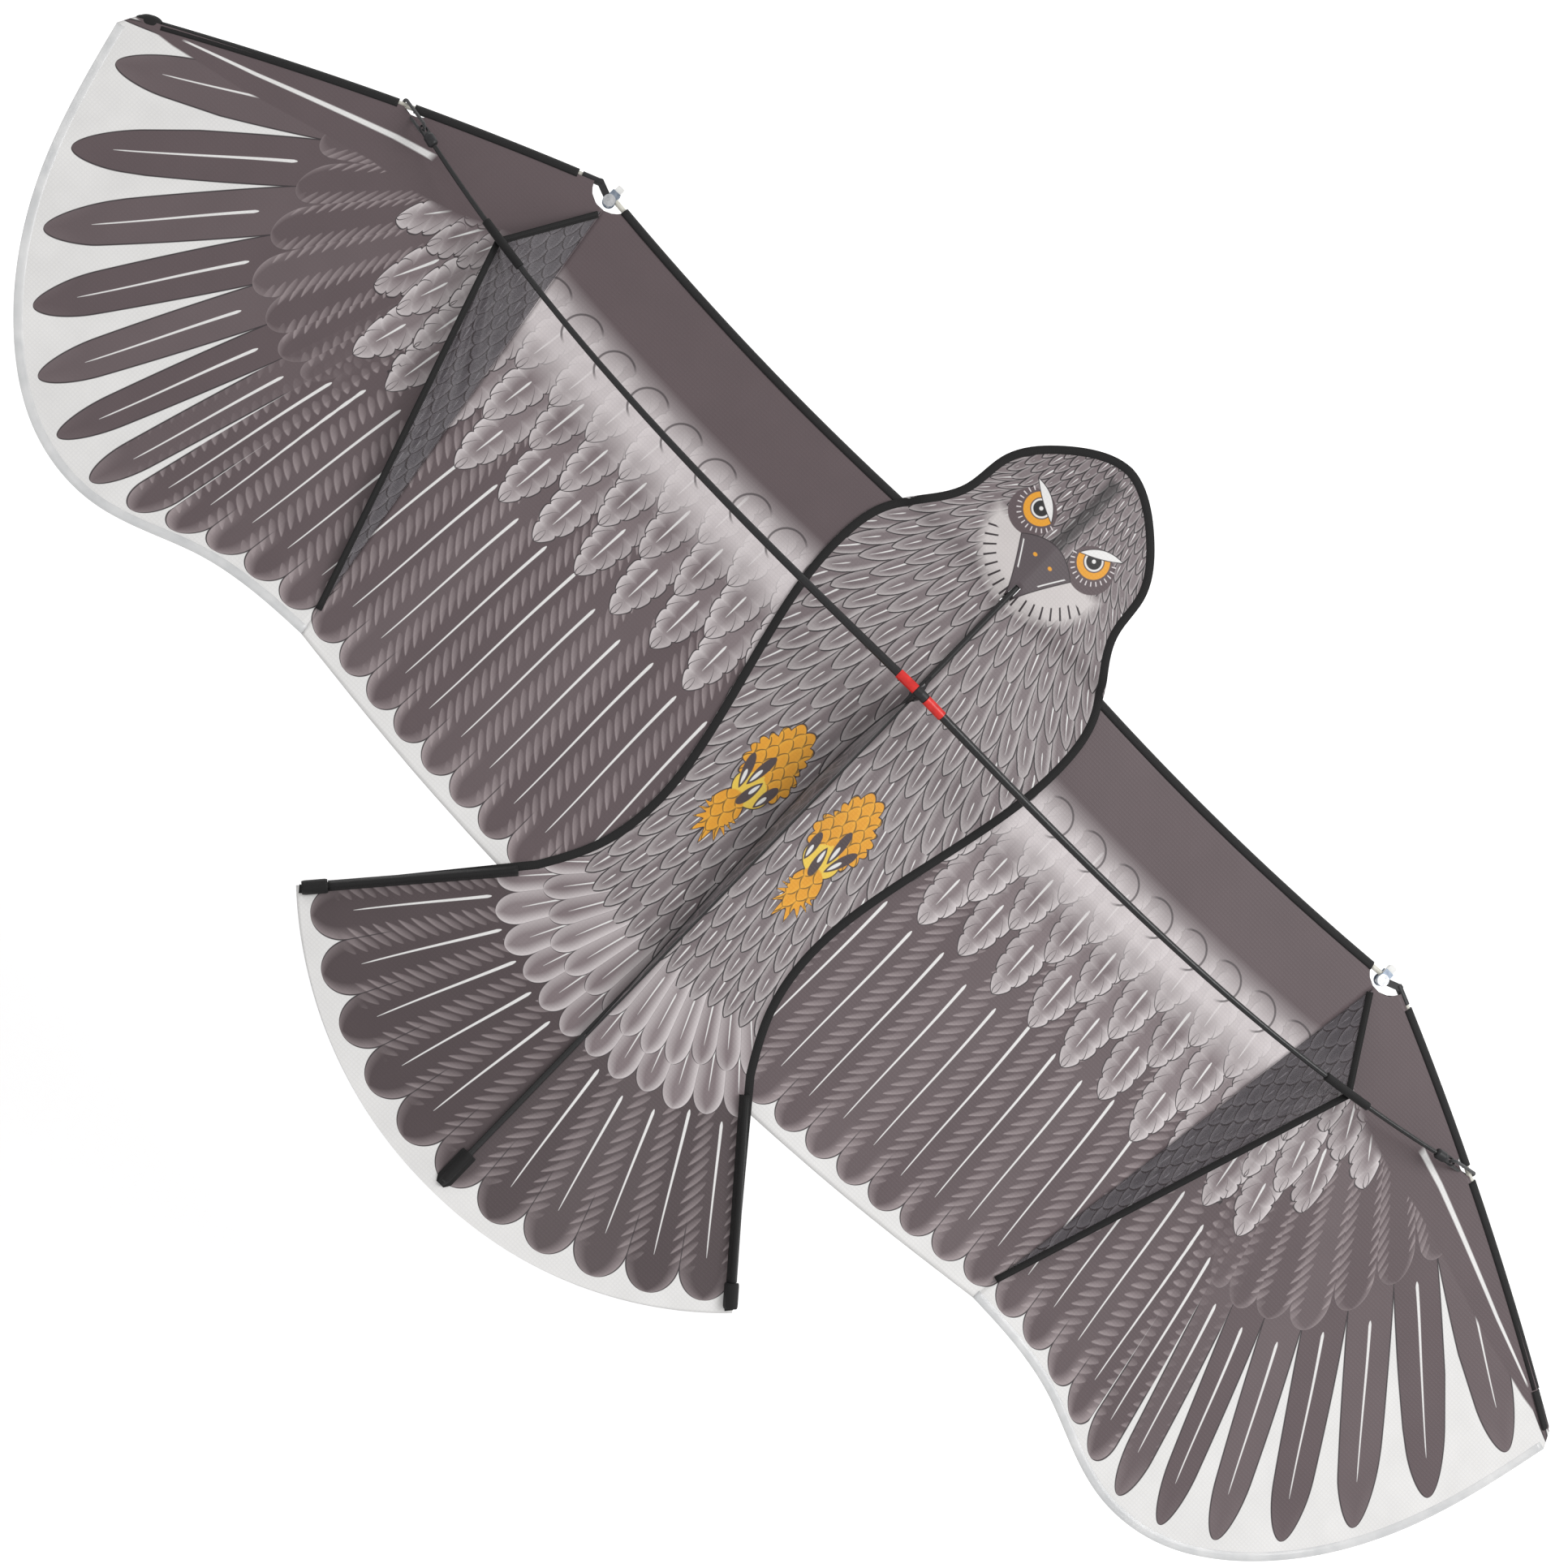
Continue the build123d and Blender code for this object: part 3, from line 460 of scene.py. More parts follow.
def blend_colour(tree, share, below, above):
    """The colour below, covered by the one above where the share is 1."""
    node = tree.nodes.new("ShaderNodeMix")
    node.data_type = "RGBA"
    for position, value in ((0, share), (6, below), (7, above)):
        if isinstance(value, Amount):
            tree.links.new(value.socket, node.inputs[position])
        elif isinstance(value, bpy.types.NodeSocket):
            tree.links.new(value, node.inputs[position])
        else:
            node.inputs[position].default_value = value
    return node.outputs[2]


def new_group(name, inputs, outputs):
    """An empty shader group with named inputs and outputs, and its input and output nodes."""
    group = bpy.data.node_groups.new(name, "ShaderNodeTree")
    for label, kind, value in inputs:
        socket = group.interface.new_socket(label, in_out="INPUT", socket_type=kind)
        socket.default_value = value
    for label, kind in outputs:
        group.interface.new_socket(label, in_out="OUTPUT", socket_type=kind)
    entry = group.nodes.new("NodeGroupInput")
    result = group.nodes.new("NodeGroupOutput")
    return group, entry, result


def place_group(tree, group, **values):
    """A group in a material, with its inputs given by name: underscores stand for spaces."""
    node = tree.nodes.new("ShaderNodeGroup")
    node.node_tree = group
    for key, value in values.items():
        socket = node.inputs[key.replace("_", " ")]
        if isinstance(value, Amount):
            tree.links.new(value.socket, socket)
        elif isinstance(value, bpy.types.NodeSocket):
            tree.links.new(value, socket)
        else:
            socket.default_value = value
    return node


NUMBER, COLOUR = "NodeSocketFloat", "NodeSocketColor"

# %% [markdown]
# Kite cloth is thin nylon with a fine grid of thicker threads woven in, which stops tears. The grid shows as
# small squares that catch the light. Two sine waves along the cloth's own map give the threads, and a soft
# noise gives painted uneven shade, as the cloth's uneven pull would. The threads take a little painted shade
# too. The same group serves every cloth, with its own thread spacing.

# %% Woven grid group
def woven_group():
    """Threads at an even spacing along both cloth directions, and slow uneven shading."""
    group, entry, result = new_group(
        "woven_grid",
        [("Spacing", NUMBER, 2.2), ("Fineness", NUMBER, 1.0)],
        [("Height", NUMBER), ("Shade", NUMBER)],
    )
    flat = group.nodes.new("ShaderNodeUVMap")
    flat.uv_map = "flat_mm"
    parts = group.nodes.new("ShaderNodeSeparateXYZ")
    group.links.new(flat.outputs[0], parts.inputs[0])
    spacing = Amount(group, entry.outputs["Spacing"])
    threads = []
    for axis in (0, 1):
        turn = Amount(group, parts.outputs[axis]) / spacing * (2 * math.pi)
        threads.append((turn.wave() * 0.5 + 0.5) ** 6.0)
    height = threads[0].most(threads[1])
    noise = group.nodes.new("ShaderNodeTexNoise")
    noise.inputs["Scale"].default_value = 0.035
    noise.inputs["Detail"].default_value = 3.0
    group.links.new(flat.outputs[0], noise.inputs["Vector"])
    # Painted shade: a soft noise darkens and lightens the cloth colour, and the threads are painted a little darker.
    shade = Amount(group, noise.outputs["Fac"]) * 0.16 + 0.92 - height * 0.05
    fineness = Amount(group, entry.outputs["Fineness"])
    group.links.new((height * fineness).socket, result.inputs["Height"])
    group.links.new(shade.socket, result.inputs["Shade"])
    return group


woven_grid = woven_group()

# %% [markdown]
# The print is rows of feathers. Each row is one group: it reads which feather a point lies on, how far it is
# from the feather's tip and how wide the row is there, and it gives the feather's colour and a mask. Rows are
# laid over each other in the material, those nearest the leading edge on top, as feathers lie on a wing.
# A feather has a round or pinched end, a rim, an outline, notches, a quill, and barb strokes beside the quill.

# %% Feather row group
def feather_group():
    """One row of feathers with rounded tips, outlines, pale rims, quills and barb strokes."""
    group, entry, result = new_group(
        "feather_row",
        [
            ("Number", NUMBER, 0.0),
            ("From Tip", NUMBER, 0.0),
            ("Spacing", NUMBER, 20.0),
            ("Seed", NUMBER, 0.0),
            ("Scatter", NUMBER, 0.0),
            ("Widest", NUMBER, 30.0),
            ("Tip Length", NUMBER, 12.0),
            ("Tip Roundness", NUMBER, 0.5),
            ("Pinch", NUMBER, 0.0),
            ("Pinch Length", NUMBER, 130.0),
            ("Notch Pitch", NUMBER, 9.0),
            ("Notch Depth", NUMBER, 0.0),
            ("Outline", NUMBER, 0.7),
            ("Line Length", NUMBER, 400.0),
            ("Rim Width", NUMBER, 5.0),
            ("Rim Length", NUMBER, 400.0),
            ("Rim Strength", NUMBER, 0.8),
            ("Pale Tip", NUMBER, 0.01),
            ("Quill Start", NUMBER, 10.0),
            ("Quill End", NUMBER, 60.0),
            ("Quill Width", NUMBER, 0.8),
            ("Barb Pitch", NUMBER, 7.4),
            ("Barb Strength", NUMBER, 0.0),
            ("Barb Start", NUMBER, 20.0),
            ("Middle Colour", COLOUR, (0.1, 0.08, 0.08, 1)),
            ("Rim Colour", COLOUR, (0.5, 0.45, 0.45, 1)),
            ("Line Colour", COLOUR, (0.05, 0.04, 0.04, 1)),
            ("Quill Colour", COLOUR, (0.85, 0.84, 0.84, 1)),
        ],
        [("Colour", COLOUR), ("Mask", NUMBER)],
    )

    def given(label):
        return Amount(group, entry.outputs[label])

    number, spacing = given("Number"), given("Spacing")
    which = number.whole()
    jitter = group.nodes.new("ShaderNodeTexWhiteNoise")
    jitter.noise_dimensions = "1D"
    group.links.new((which + given("Seed") * 7.31).socket, jitter.inputs["W"])
    chance = Amount(group, jitter.outputs["Value"])
    from_tip = given("From Tip") + (chance - 0.5) * given("Scatter")
    across = (number - which) * spacing
    half = (spacing * 0.5 + 0.6).least(given("Widest") * 0.5)
    pinch = (from_tip / given("Pinch Length")).between().less_than_one() * given("Pinch")
    taper = (from_tip / given("Tip Length")).between()
    round_end = (taper.less_than_one() ** 2.0).less_than_one() ** given("Tip Roundness")
    lobe = ((from_tip / given("Notch Pitch")).work("FRACT") - 0.5).size() * 2.0
    reach = half * pinch.less_than_one() * round_end - (lobe**4.0) * given("Notch Depth")
    inside = reach - across.size()
    mask = inside.edge(0.5) * from_tip.edge(0.5)
    line = (given("Outline") - inside).edge(0.5) * ((given("Line Length") - from_tip) / 8.0).between()
    rim = (inside / given("Rim Width")).between().less_than_one() ** 1.15
    rim = rim * ((given("Rim Length") - from_tip) / given("Rim Length") * 1.6).between()
    rim = rim.most((from_tip / given("Pale Tip")).between().less_than_one() * 0.85)
    lit_side = (across / half * 0.3 + 0.8).between()
    pale = (rim * lit_side * given("Rim Strength") + (chance - 0.5) * 0.16).between()
    colour = blend_colour(group, pale, entry.outputs["Middle Colour"], entry.outputs["Rim Colour"])
    below = (number * -1.0).work("FRACT")
    span = ((below - 0.2) / 0.52).between()
    stroke = (from_tip + below * spacing * 0.82 + span * span * 2.5) / given("Barb Pitch")
    off_centre = (stroke + (number + below) * 0.37).work("FRACT") - 0.5
    flame = (span * span.less_than_one() * 4.0) ** 0.75 * (span * -0.35 + 1.0) * 0.46
    strokes = ((flame - off_centre.size()) * given("Barb Pitch")).edge(0.9) * (flame * 12.0).between()
    strokes = strokes * (off_centre / flame * -0.42 + 0.58).between() * (span * 0.5 + 0.5)
    barbs = strokes * (from_tip - given("Barb Start")).edge(8.0) * given("Barb Strength")
    colour = blend_colour(group, barbs, colour, entry.outputs["Rim Colour"])
    notch = (from_tip - inside * 1.4) / given("Notch Pitch") + 0.5
    notch_away = (notch.work("FRACT") - 0.5).size() * given("Notch Pitch")
    notch_line = ((inside / half * -1.5 + 1.0) * 0.5 - notch_away).edge(0.5) * given("Notch Depth").between()
    colour = blend_colour(group, notch_line, colour, entry.outputs["Line Colour"])
    quill_from = from_tip - given("Quill Start") - chance * 5.0
    quill_to = given("Quill End") - from_tip - chance * 8.0
    thinner = (quill_from / (given("Quill End") - given("Quill Start"))).between() * 0.7 + 0.3
    ends = ((quill_from / 8.0).between() * (quill_to / 3.0).between()) ** 0.5
    bend = across + (from_tip / 26.0).wave() * 0.5
    quill = (given("Quill Width") * thinner * ends - bend.size()).edge(0.4) * (ends * 5.0).between()
    colour = blend_colour(group, quill, colour, entry.outputs["Quill Colour"])
    colour = blend_colour(group, line, colour, entry.outputs["Line Colour"])
    group.links.new(colour, result.inputs["Colour"])
    group.links.new(mask.socket, result.inputs["Mask"])
    return group


feather_row = feather_group()


# %% [markdown]
# A cloth material reads the fields that its mesh carries. The finish is the same for all the printed cloth:
# satin nylon, a little sheen, and the woven grid as a faint bump.

# %% Cloth finish
def read_field(tree, name):
    """The three numbers of an attribute, as amounts."""
    node = tree.nodes.new("ShaderNodeAttribute")
    node.attribute_name = name
    parts = tree.nodes.new("ShaderNodeSeparateXYZ")
    tree.links.new(node.outputs["Vector"], parts.inputs[0])
    return [Amount(tree, socket) for socket in parts.outputs]


def new_material(name, roughness, sheen=0.0, coat=0.0, metallic=0.0, specular=0.5):
    """A material with one Principled shader, whose plain values are set on its own sockets."""
    material = bpy.data.materials.new(name)
    material.use_nodes = True
    shader = material.node_tree.nodes["Principled BSDF"]
    shader.inputs["Roughness"].default_value = roughness
    shader.inputs["Sheen Weight"].default_value = sheen
    shader.inputs["Coat Weight"].default_value = coat
    shader.inputs["Metallic"].default_value = metallic
    shader.inputs["Specular IOR Level"].default_value = specular
    return material, material.node_tree, shader


def finish_cloth(tree, shader, colour, spacing=2.2, strength=0.25):
    """Joins a colour to the shader through the woven grid's shading, and the grid to its normal."""
    weave = place_group(tree, woven_grid, Spacing=spacing, Fineness=1.0)
    shaded = tree.nodes.new("ShaderNodeVectorMath")
    shaded.operation = "SCALE"
    if isinstance(colour, bpy.types.NodeSocket):
        tree.links.new(colour, shaded.inputs[0])
    else:
        shaded.inputs[0].default_value = colour[:3]
    tree.links.new(weave.outputs["Shade"], shaded.inputs["Scale"])
    tree.links.new(shaded.outputs[0], shader.inputs["Base Color"])
    bump = tree.nodes.new("ShaderNodeBump")
    bump.inputs["Strength"].default_value = strength
    bump.inputs["Distance"].default_value = 0.0002
    tree.links.new(weave.outputs["Height"], bump.inputs["Height"])
    tree.links.new(bump.outputs[0], shader.inputs["Normal"])


# %% [markdown]
# The body cloth is one piece: head, shoulders, waist and fan tail. For each point of its right-hand outline,
# a row of points runs straight across to the left one, so the whole cloth is a grid of rows and shares of the
# width. The end rows shrink to a point and are merged. A slit behind the head lets the spine rod through.

# %% Body outline
body_marks = [(42, 185), (65, 152), (69, 124), (97, 80), (104.5, 45), (95.5, -30), (79, -100), (71.5, -152)]
body_marks += [(79, -205), (97, -240)]
mirrored = [(-out, ahead) for out, ahead in reversed(body_marks)]
shoulder_edge = spline_through(mirrored + [(0.0, crown_ahead)] + body_marks, 241)[120:]
tail_side = np.linspace((97.0, -240.0), tail_corner, 37)[1:]
tail_arc = arc_through((193, -356, 0), (0, tail_end, 0), (-193, -356, 0), 141)[1:71, :2]
body_edge = np.concatenate([shoulder_edge, tail_side, tail_arc])
body_edge[[0, -1], 0] = 0.0
print("Body outline points:", len(body_edge))


def inset_edge(edge, amount):
    """The outline moved inwards: each point goes square to the edge, which runs clockwise."""
    heading = np.gradient(edge, axis=0)
    heading /= np.linalg.norm(heading, axis=1)[:, None]
    moved = edge + amount * np.stack([heading[:, 1], -heading[:, 0]], axis=-1)
    moved[[0, -1], 0] = 0.0
    return moved


# %% [markdown]
# The cloth's print is described to its material by fields: which feather of the tail a point lies on and how
# far from its tip, and which row and column of the small body scales. They are worked out once for each point.

# %% Body cloth
def plain_slope(out):
    """Height of the body's own facet, which doesn't flatten beyond the wing seam."""
    return -fall * np.abs(out)


slit_half = 2.35
edge_share = slit_half / 95.0
half_columns = np.linspace(edge_share, 1.0, 56)
columns = np.concatenate([-half_columns[::-1], [0.0], half_columns])
body_plan = np.stack(
    [body_edge[:, :1] * columns, np.broadcast_to(body_edge[:, 1:], (len(body_edge), len(columns)))], axis=-1
)
body_points = np.concatenate(
    [
        body_plan,
        (
            plain_slope(body_plan[..., 0])
            + 0.55
            + head_step(body_plan[..., 1])
            + 0.6 * pull(body_plan[..., 0], body_plan[..., 1])
        )[..., None],
    ],
    axis=-1,
)
print("Body cloth grid:", body_points.shape[:2])


def feather_fan(out, ahead):
    """Tail fan: feather number and radius about a centre in the waist; spacing is radius times the angle step."""
    out = np.where(np.abs(out) < 1e-6, 1e-6, out)
    radius = np.hypot(out, ahead - fan_centre)
    angle = np.arctan2(out, fan_centre - ahead)
    return np.stack([angle / fan_step, radius, radius * fan_step], axis=-1)


def scale_rows(out, ahead):
    """Body scales: the row number is the summed inverse of the pitch, and the column the width out from the spine."""
    marks, widths = [-434, -262, -150, 20, 110, 150, 206], [11, 11, 13, 14.5, 10, 6.5, 5.5]
    width = np.interp(ahead, marks, widths)
    line = np.linspace(-434, 206, 641)
    step = 1.0 / (scale_length * np.interp(line, marks, widths))
    rows = np.interp(ahead - 0.0022 * out**2, line, np.cumsum(step))
    return np.stack([out / width, rows * -1.0, width], axis=-1)


scale_length = 1.8
fan_centre = -150.0
fan_step = math.radians(86.0) / 11
slit_quads = (np.abs(body_plan[..., 0]) < slit_half + 0.6) & (body_plan[..., 1] > 84) & (body_plan[..., 1] < 100)
slit_quads = slit_quads[:-1, :-1] & slit_quads[1:, 1:] & slit_quads[:-1, 1:] & slit_quads[1:, :-1]
body_cloth = grid_piece("body_cloth", body_points, left_out=slit_quads)
store_field(body_cloth, "tail_fan", feather_fan(body_plan[..., 0], body_plan[..., 1]))
store_field(body_cloth, "scale_rows", scale_rows(body_plan[..., 0], body_plan[..., 1]))
merge_points(body_cloth, upwards=True)
print("Slit quads left out:", int(slit_quads.sum()))


def thicken(piece, thick, offset=0.0):
    """Gives a cloth its thickness, to both sides of the surface unless the offset moves it."""
    wall = piece.modifiers.new("thickness", "SOLIDIFY")
    wall.thickness = thick * MM
    wall.offset = offset


thicken(body_cloth, 0.3)

# %% [markdown]
# Each wing has two panels that meet at the seam under the fin. A panel is a grid between its front and rear
# edges: for each share of the way out there is one point on each edge, and the rows run between them.

# %% Wing panel edges
lead_inner = arc_through((60, 88.6, 0), (200, 88, 0), (356, 100.3, 0), 90)[:, :2]
lead_outer = np.concatenate(
    [np.array([[356.0, 100.3]]), arc_through((368, 102, 0), (500, 45, 0), (650, -30, 0), 90)[:, :2]]
)
trail_inner = spline_through([(60, -262), (200, -252.5), (301, -240)], 90)
trail_marks = [(301, -240), (380, -249), (450, -272), (500, -268), (560, -231), (620, -148), (655, -42)]
trail_outer = spline_through(trail_marks, 160)


def square_to(edge):
    """Unit directions square to an edge in plan, turned a quarter to the right of its run."""
    heading = np.gradient(edge, axis=0)
    heading /= np.linalg.norm(heading, axis=1)[:, None]
    return np.stack([heading[:, 1], -heading[:, 0]], axis=-1)


# %% [markdown]
# The wing's feathers fan out: those by the body lie straight back, and the long ones at the tip point outward.
# A feather is a straight line from its root under the leading edge to its tip near the trailing edge, and the
# number of the feather at a point is found by halving: the number whose line passes through the point.

# %% Feather lines of a wing
trail_whole = np.concatenate([trail_inner[:-1], trail_outer])
trail_run = np.concatenate([[0.0], np.cumsum(np.linalg.norm(np.diff(trail_whole, axis=0), axis=1))])
secondaries = 11.0
print("Trailing edge in mm:", round(float(trail_run[-1]), 1))


def feather_tip(number):
    """Tip of a feather: a length along the trailing edge that opens out beyond the seam, set in from the edge."""
    beyond = np.clip(number - secondaries, 0, None)
    run = 46 + 27 * number + 2.35 * beyond**2
    edge = np.stack([np.interp(run, trail_run, trail_whole[:, axis]) for axis in (0, 1)], axis=-1)
    normal = square_to(trail_whole)
    turned_in = -np.stack([np.interp(run, trail_run, normal[:, axis]) for axis in (0, 1)], axis=-1)
    inset = 7 + 5 * np.clip(beyond / 4, 0, 1)
    outside = np.stack([np.clip(run, None, 0) + np.clip(run - trail_run[-1], 0, None) * 0.3, 0 * run], axis=-1)
    return edge + turned_in * inset[..., None] + outside


def feather_root(number):
    """Root of a feather: evenly spaced along the leading edge as far as the wrist, and bunched beyond it."""
    beyond = np.clip(number - secondaries, 0, None)
    near = np.clip(number, None, secondaries)
    out = 106 + 22.36 * near + 2.5 * beyond
    return np.stack([out, 90 + 1.2 * beyond], axis=-1)


def feather_fields(out, ahead):
    """Feather number, distance ahead of the tip, spacing, and depth behind the root for every point."""
    point = np.stack([out, ahead], axis=-1)
    low = np.full(out.shape, -3.5)
    high = np.full(out.shape, 21.5)
    for _ in range(30):
        middle = (low + high) / 2
        tip, root = feather_tip(middle), feather_root(middle)
        line, way = root - tip, point - tip
        beyond = line[..., 0] * way[..., 1] - line[..., 1] * way[..., 0] < 0
        low = np.where(beyond, middle, low)
        high = np.where(beyond, high, middle)
    number = (low + high) / 2
    tip, root = feather_tip(number), feather_root(number)
    line = root - tip
    length = np.linalg.norm(line, axis=-1)
    line = line / length[..., None]
    ahead_of_tip = ((point - tip) * line).sum(-1)
    share = ahead_of_tip / length
    step_tip = feather_tip(number + 0.05) - feather_tip(number - 0.05)
    step_root = feather_root(number + 0.05) - feather_root(number - 0.05)
    step = 10 * ((1 - share)[..., None] * step_tip + share[..., None] * step_root)
    spacing = np.abs(step[..., 0] * line[..., 1] - step[..., 1] * line[..., 0])
    return number, ahead_of_tip, spacing, length - ahead_of_tip


# %% [markdown]
# A wing panel's height is the cloth facet with its shallow waves. The right and left panels are made in one
# loop, mirrored, so both wings are the same.

# %% Wing cloth
def panel_grid(lead, trail, rows, columns):
    """Points between two edges: straight lines from the front edge to the rear one."""
    share = np.linspace(0, 1, columns)
    front, rear = along(lead, share), along(trail, share)
    back = np.linspace(0, 1, rows)[:, None, None]
    return front[None] * (1 - back) + rear[None] * back


def panel_piece(name, plan, side):
    """Cloth of a wing panel, with the fields that its print needs."""
    out, ahead = plan[..., 0], plan[..., 1]
    height = facet_height(out, ahead) - 0.25 + 0.6 * pull(out, ahead)
    piece = grid_piece(name, np.concatenate([plan, height[..., None]], axis=-1), side)
    number, ahead_of_tip, spacing, depth = feather_fields(out, ahead)
    shrink = np.interp(number, [13.0, 19.0], [1.0, 0.45])
    rate = np.interp(number, [secondaries - 1, secondaries + 1], [0.75, 0.5])
    covert = 0.75 * np.minimum(number, secondaries) + 0.5 * np.maximum(number - secondaries, 0)
    store_field(piece, "quill", np.stack([number, ahead_of_tip, spacing], axis=-1))
    store_field(piece, "cover", np.stack([covert, depth / shrink, spacing / rate], axis=-1))
    store_field(piece, "lead", lead_fields(out, ahead))
    merge_points(piece, upwards=True)
    thicken(piece, 0.3)
    return piece


def lead_fields(out, ahead):
    """How deep a point lies in the plain band along the leading edge, its share of the band, and how far out it is."""
    lead = np.concatenate([lead_inner, lead_outer])
    behind = np.interp(out, lead[:, 0], lead[:, 1]) - ahead
    slope = np.interp(out, [356, 420, 650], [1.0, 0.93, 0.83])
    band = np.interp(out, [340, 420, 480, 570, 620, 652], [74, 60, 42, 25, 12, 1])
    return np.stack([band - behind * slope, behind * slope / band, out], axis=-1)


def notched(plan, centre, radius):
    """Cuts the cloth back round a fitting: points nearer to its centre than the radius move out to the radius."""
    away = plan - centre
    distance = np.linalg.norm(away, axis=-1, keepdims=True)
    return np.asarray(centre) + away * np.maximum(1.0, radius / distance)


inner_plan = notched(panel_grid(lead_inner - [0, 1.2], trail_inner, 110, 100), (357, 104), 15)
outer_plan = notched(panel_grid(lead_outer - [0.4, 1.2], trail_outer, 120, 130), (357, 104), 15)
outer_plan = notched(outer_plan, (485, 58), 11)
wing_cloths = {}
for side_name, side in sides.items():
    for part_name, plan in (("inner", inner_plan), ("outer", outer_plan)):
        piece = panel_piece(f"wing_cloth_{part_name}_{side_name}", plan, side)
        wing_cloths[f"{part_name}_{side_name}"] = piece
        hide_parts(f"wing_panel_{part_name}_{side_name}")
        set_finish(piece, "wing_cloth")
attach(body_cloth, "frame")
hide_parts("body_sail")
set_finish(body_cloth, "sail_cloth")

# %% [markdown]
# Black tape is sewn along the body's edge from one tail corner over the crown to the other, and clear film
# stiffens the rear edges of the wings and tail. Both are a thin flat profile carried along an edge, a little inside it.

# %% Edge tapes
def flat_profile(width, thick, crown=0.0):
    """A flat strip with rounded corners, a little higher along its middle."""
    half, low, high = width / 2, -thick / 2, thick / 2
    soft = min(thick, width) * 0.35
    return [
        (-half, low),
        (-half, high - soft),
        (-half + soft, high),
        (0, high + crown),
        (half - soft, high),
        (half, high - soft),
        (half, low),
        (0, low),
    ]


def finish_piece(piece, body, slot, *nodes):
    """Says which body a piece rides on, which finish it has, and which plain solids it stands for."""
    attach(piece, body)
    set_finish(piece, slot)
    if nodes:
        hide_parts(*nodes)
    return piece


def on_cloth(edge, level, body=False):
    """Points of a plan edge at a level above the cloth."""
    out, ahead = edge[:, 0], edge[:, 1]
    height = plain_slope(out) + head_step(ahead) if body else facet_height(out, ahead)
    return np.concatenate([edge, (height + level + 0.6 * pull(out, ahead))[:, None]], axis=1)


tape_side = inset_edge(body_edge, binding_width / 2)
tape_side = tape_side[: np.argmin(np.linalg.norm(body_edge - tail_corner, axis=1)) + 1]
tape_line = np.concatenate([tape_side[:0:-1] * [-1, 1], tape_side])
body_tape = carried_piece("body_tape", on_cloth(tape_line, 1.0, body=True), flat_profile(5.5, 0.4, 0.08))
finish_piece(body_tape, "frame", "black_tape", "body_binding")

film_width, film_thick = 6.0, 0.2
tail_line = inset_edge(body_edge, film_width / 2)[-70:]
tail_line = np.concatenate([tail_line, tail_line[-2::-1] * [-1, 1]])
tail_film = carried_piece("tail_film", on_cloth(tail_line, 0.16, body=True), flat_profile(film_width, film_thick))
finish_piece(tail_film, "frame", "clear_tape", "tail_hem")
inner_film_line = (trail_inner - square_to(trail_inner) * film_width / 2)[12:]
outer_film_line = trail_outer - square_to(trail_outer) * film_width / 2
wing_films = {}
for side_name, side in sides.items():
    for part_name, line, level in (("inner", inner_film_line, -0.62), ("outer", outer_film_line, 0.06)):
        film = carried_piece(
            f"wing_film_{part_name}_{side_name}", on_cloth(line, level), flat_profile(film_width, film_thick), side
        )
        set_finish(film, "clear_tape")
        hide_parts(f"wing_hem_{part_name}_{side_name}")
        wing_films[f"{part_name}_{side_name}"] = film

# %% [markdown]
# The leading edge is a black tape folded round the rod and over the cloth's edge. Its profile is a drop: round
# in front and below, and flat on top where it lies on the cloth.

# %% Leading-edge sleeves
def rod_arc(marks, count):
    """A rod through three plan marks, a fixed drop below the cloth."""
    return arc_through(*[(out, ahead, facet_height(out, ahead) - rod_drop) for out, ahead in marks], count)


inner_rod = rod_arc([(8, 91), (180, 87.8), (356, 100.3)], 200)
outer_rod = rod_arc([(368, 102), (500, 45), (646, -30)], 200)
sleeve_profile = [
    (3.4, 3.1),
    (3.4, 4.3),
    (1.5, 4.25),
    (0.0, 3.75),
    (-1.5, 2.95),
    (-2.6, 1.7),
    (-3.0, 0.0),
    (-2.6, -1.5),
    (-1.5, -2.6),
    (0.0, -3.0),
    (1.5, -2.6),
    (2.6, -1.5),
    (3.0, 0.0),
    (3.2, 1.6),
]
outer_length = float(np.linalg.norm(np.diff(outer_rod, axis=0), axis=1).sum())
anchor_share = (487.0 - 368.0) / (646.0 - 368.0)
socket_end = 14.0 / outer_length + 0.004
gap_half = 5.5 / outer_length
tip_start = 1 - 26.0 / outer_length
cap_start = 1 - 14.0 / outer_length


def sleeve_over(rod, start, end, count):
    """Path of a sleeve over part of a rod."""
    return along(rod, np.linspace(start, end, count))


for side_name, side in sides.items():
    inner_sleeve = carried_piece(
        f"lead_sleeve_inner_{side_name}", sleeve_over(inner_rod, 0.09, 0.965, 120), sleeve_profile, side
    )
    finish_piece(inner_sleeve, "frame", "black_tape", f"le_sleeve_inner_{side_name}")
    near = carried_piece(
        f"lead_sleeve_near_{side_name}",
        sleeve_over(outer_rod, socket_end, anchor_share - gap_half, 50),
        sleeve_profile,
        side,
    )
    far = carried_piece(
        f"lead_sleeve_far_{side_name}",
        sleeve_over(outer_rod, anchor_share + gap_half, tip_start if side > 0 else cap_start, 60),
        sleeve_profile,
        side,
    )
    finish_piece(near, f"wingtip_{side_name}", "black_tape", f"le_sleeve_outer_{side_name}")
    finish_piece(far, f"wingtip_{side_name}", "black_tape")
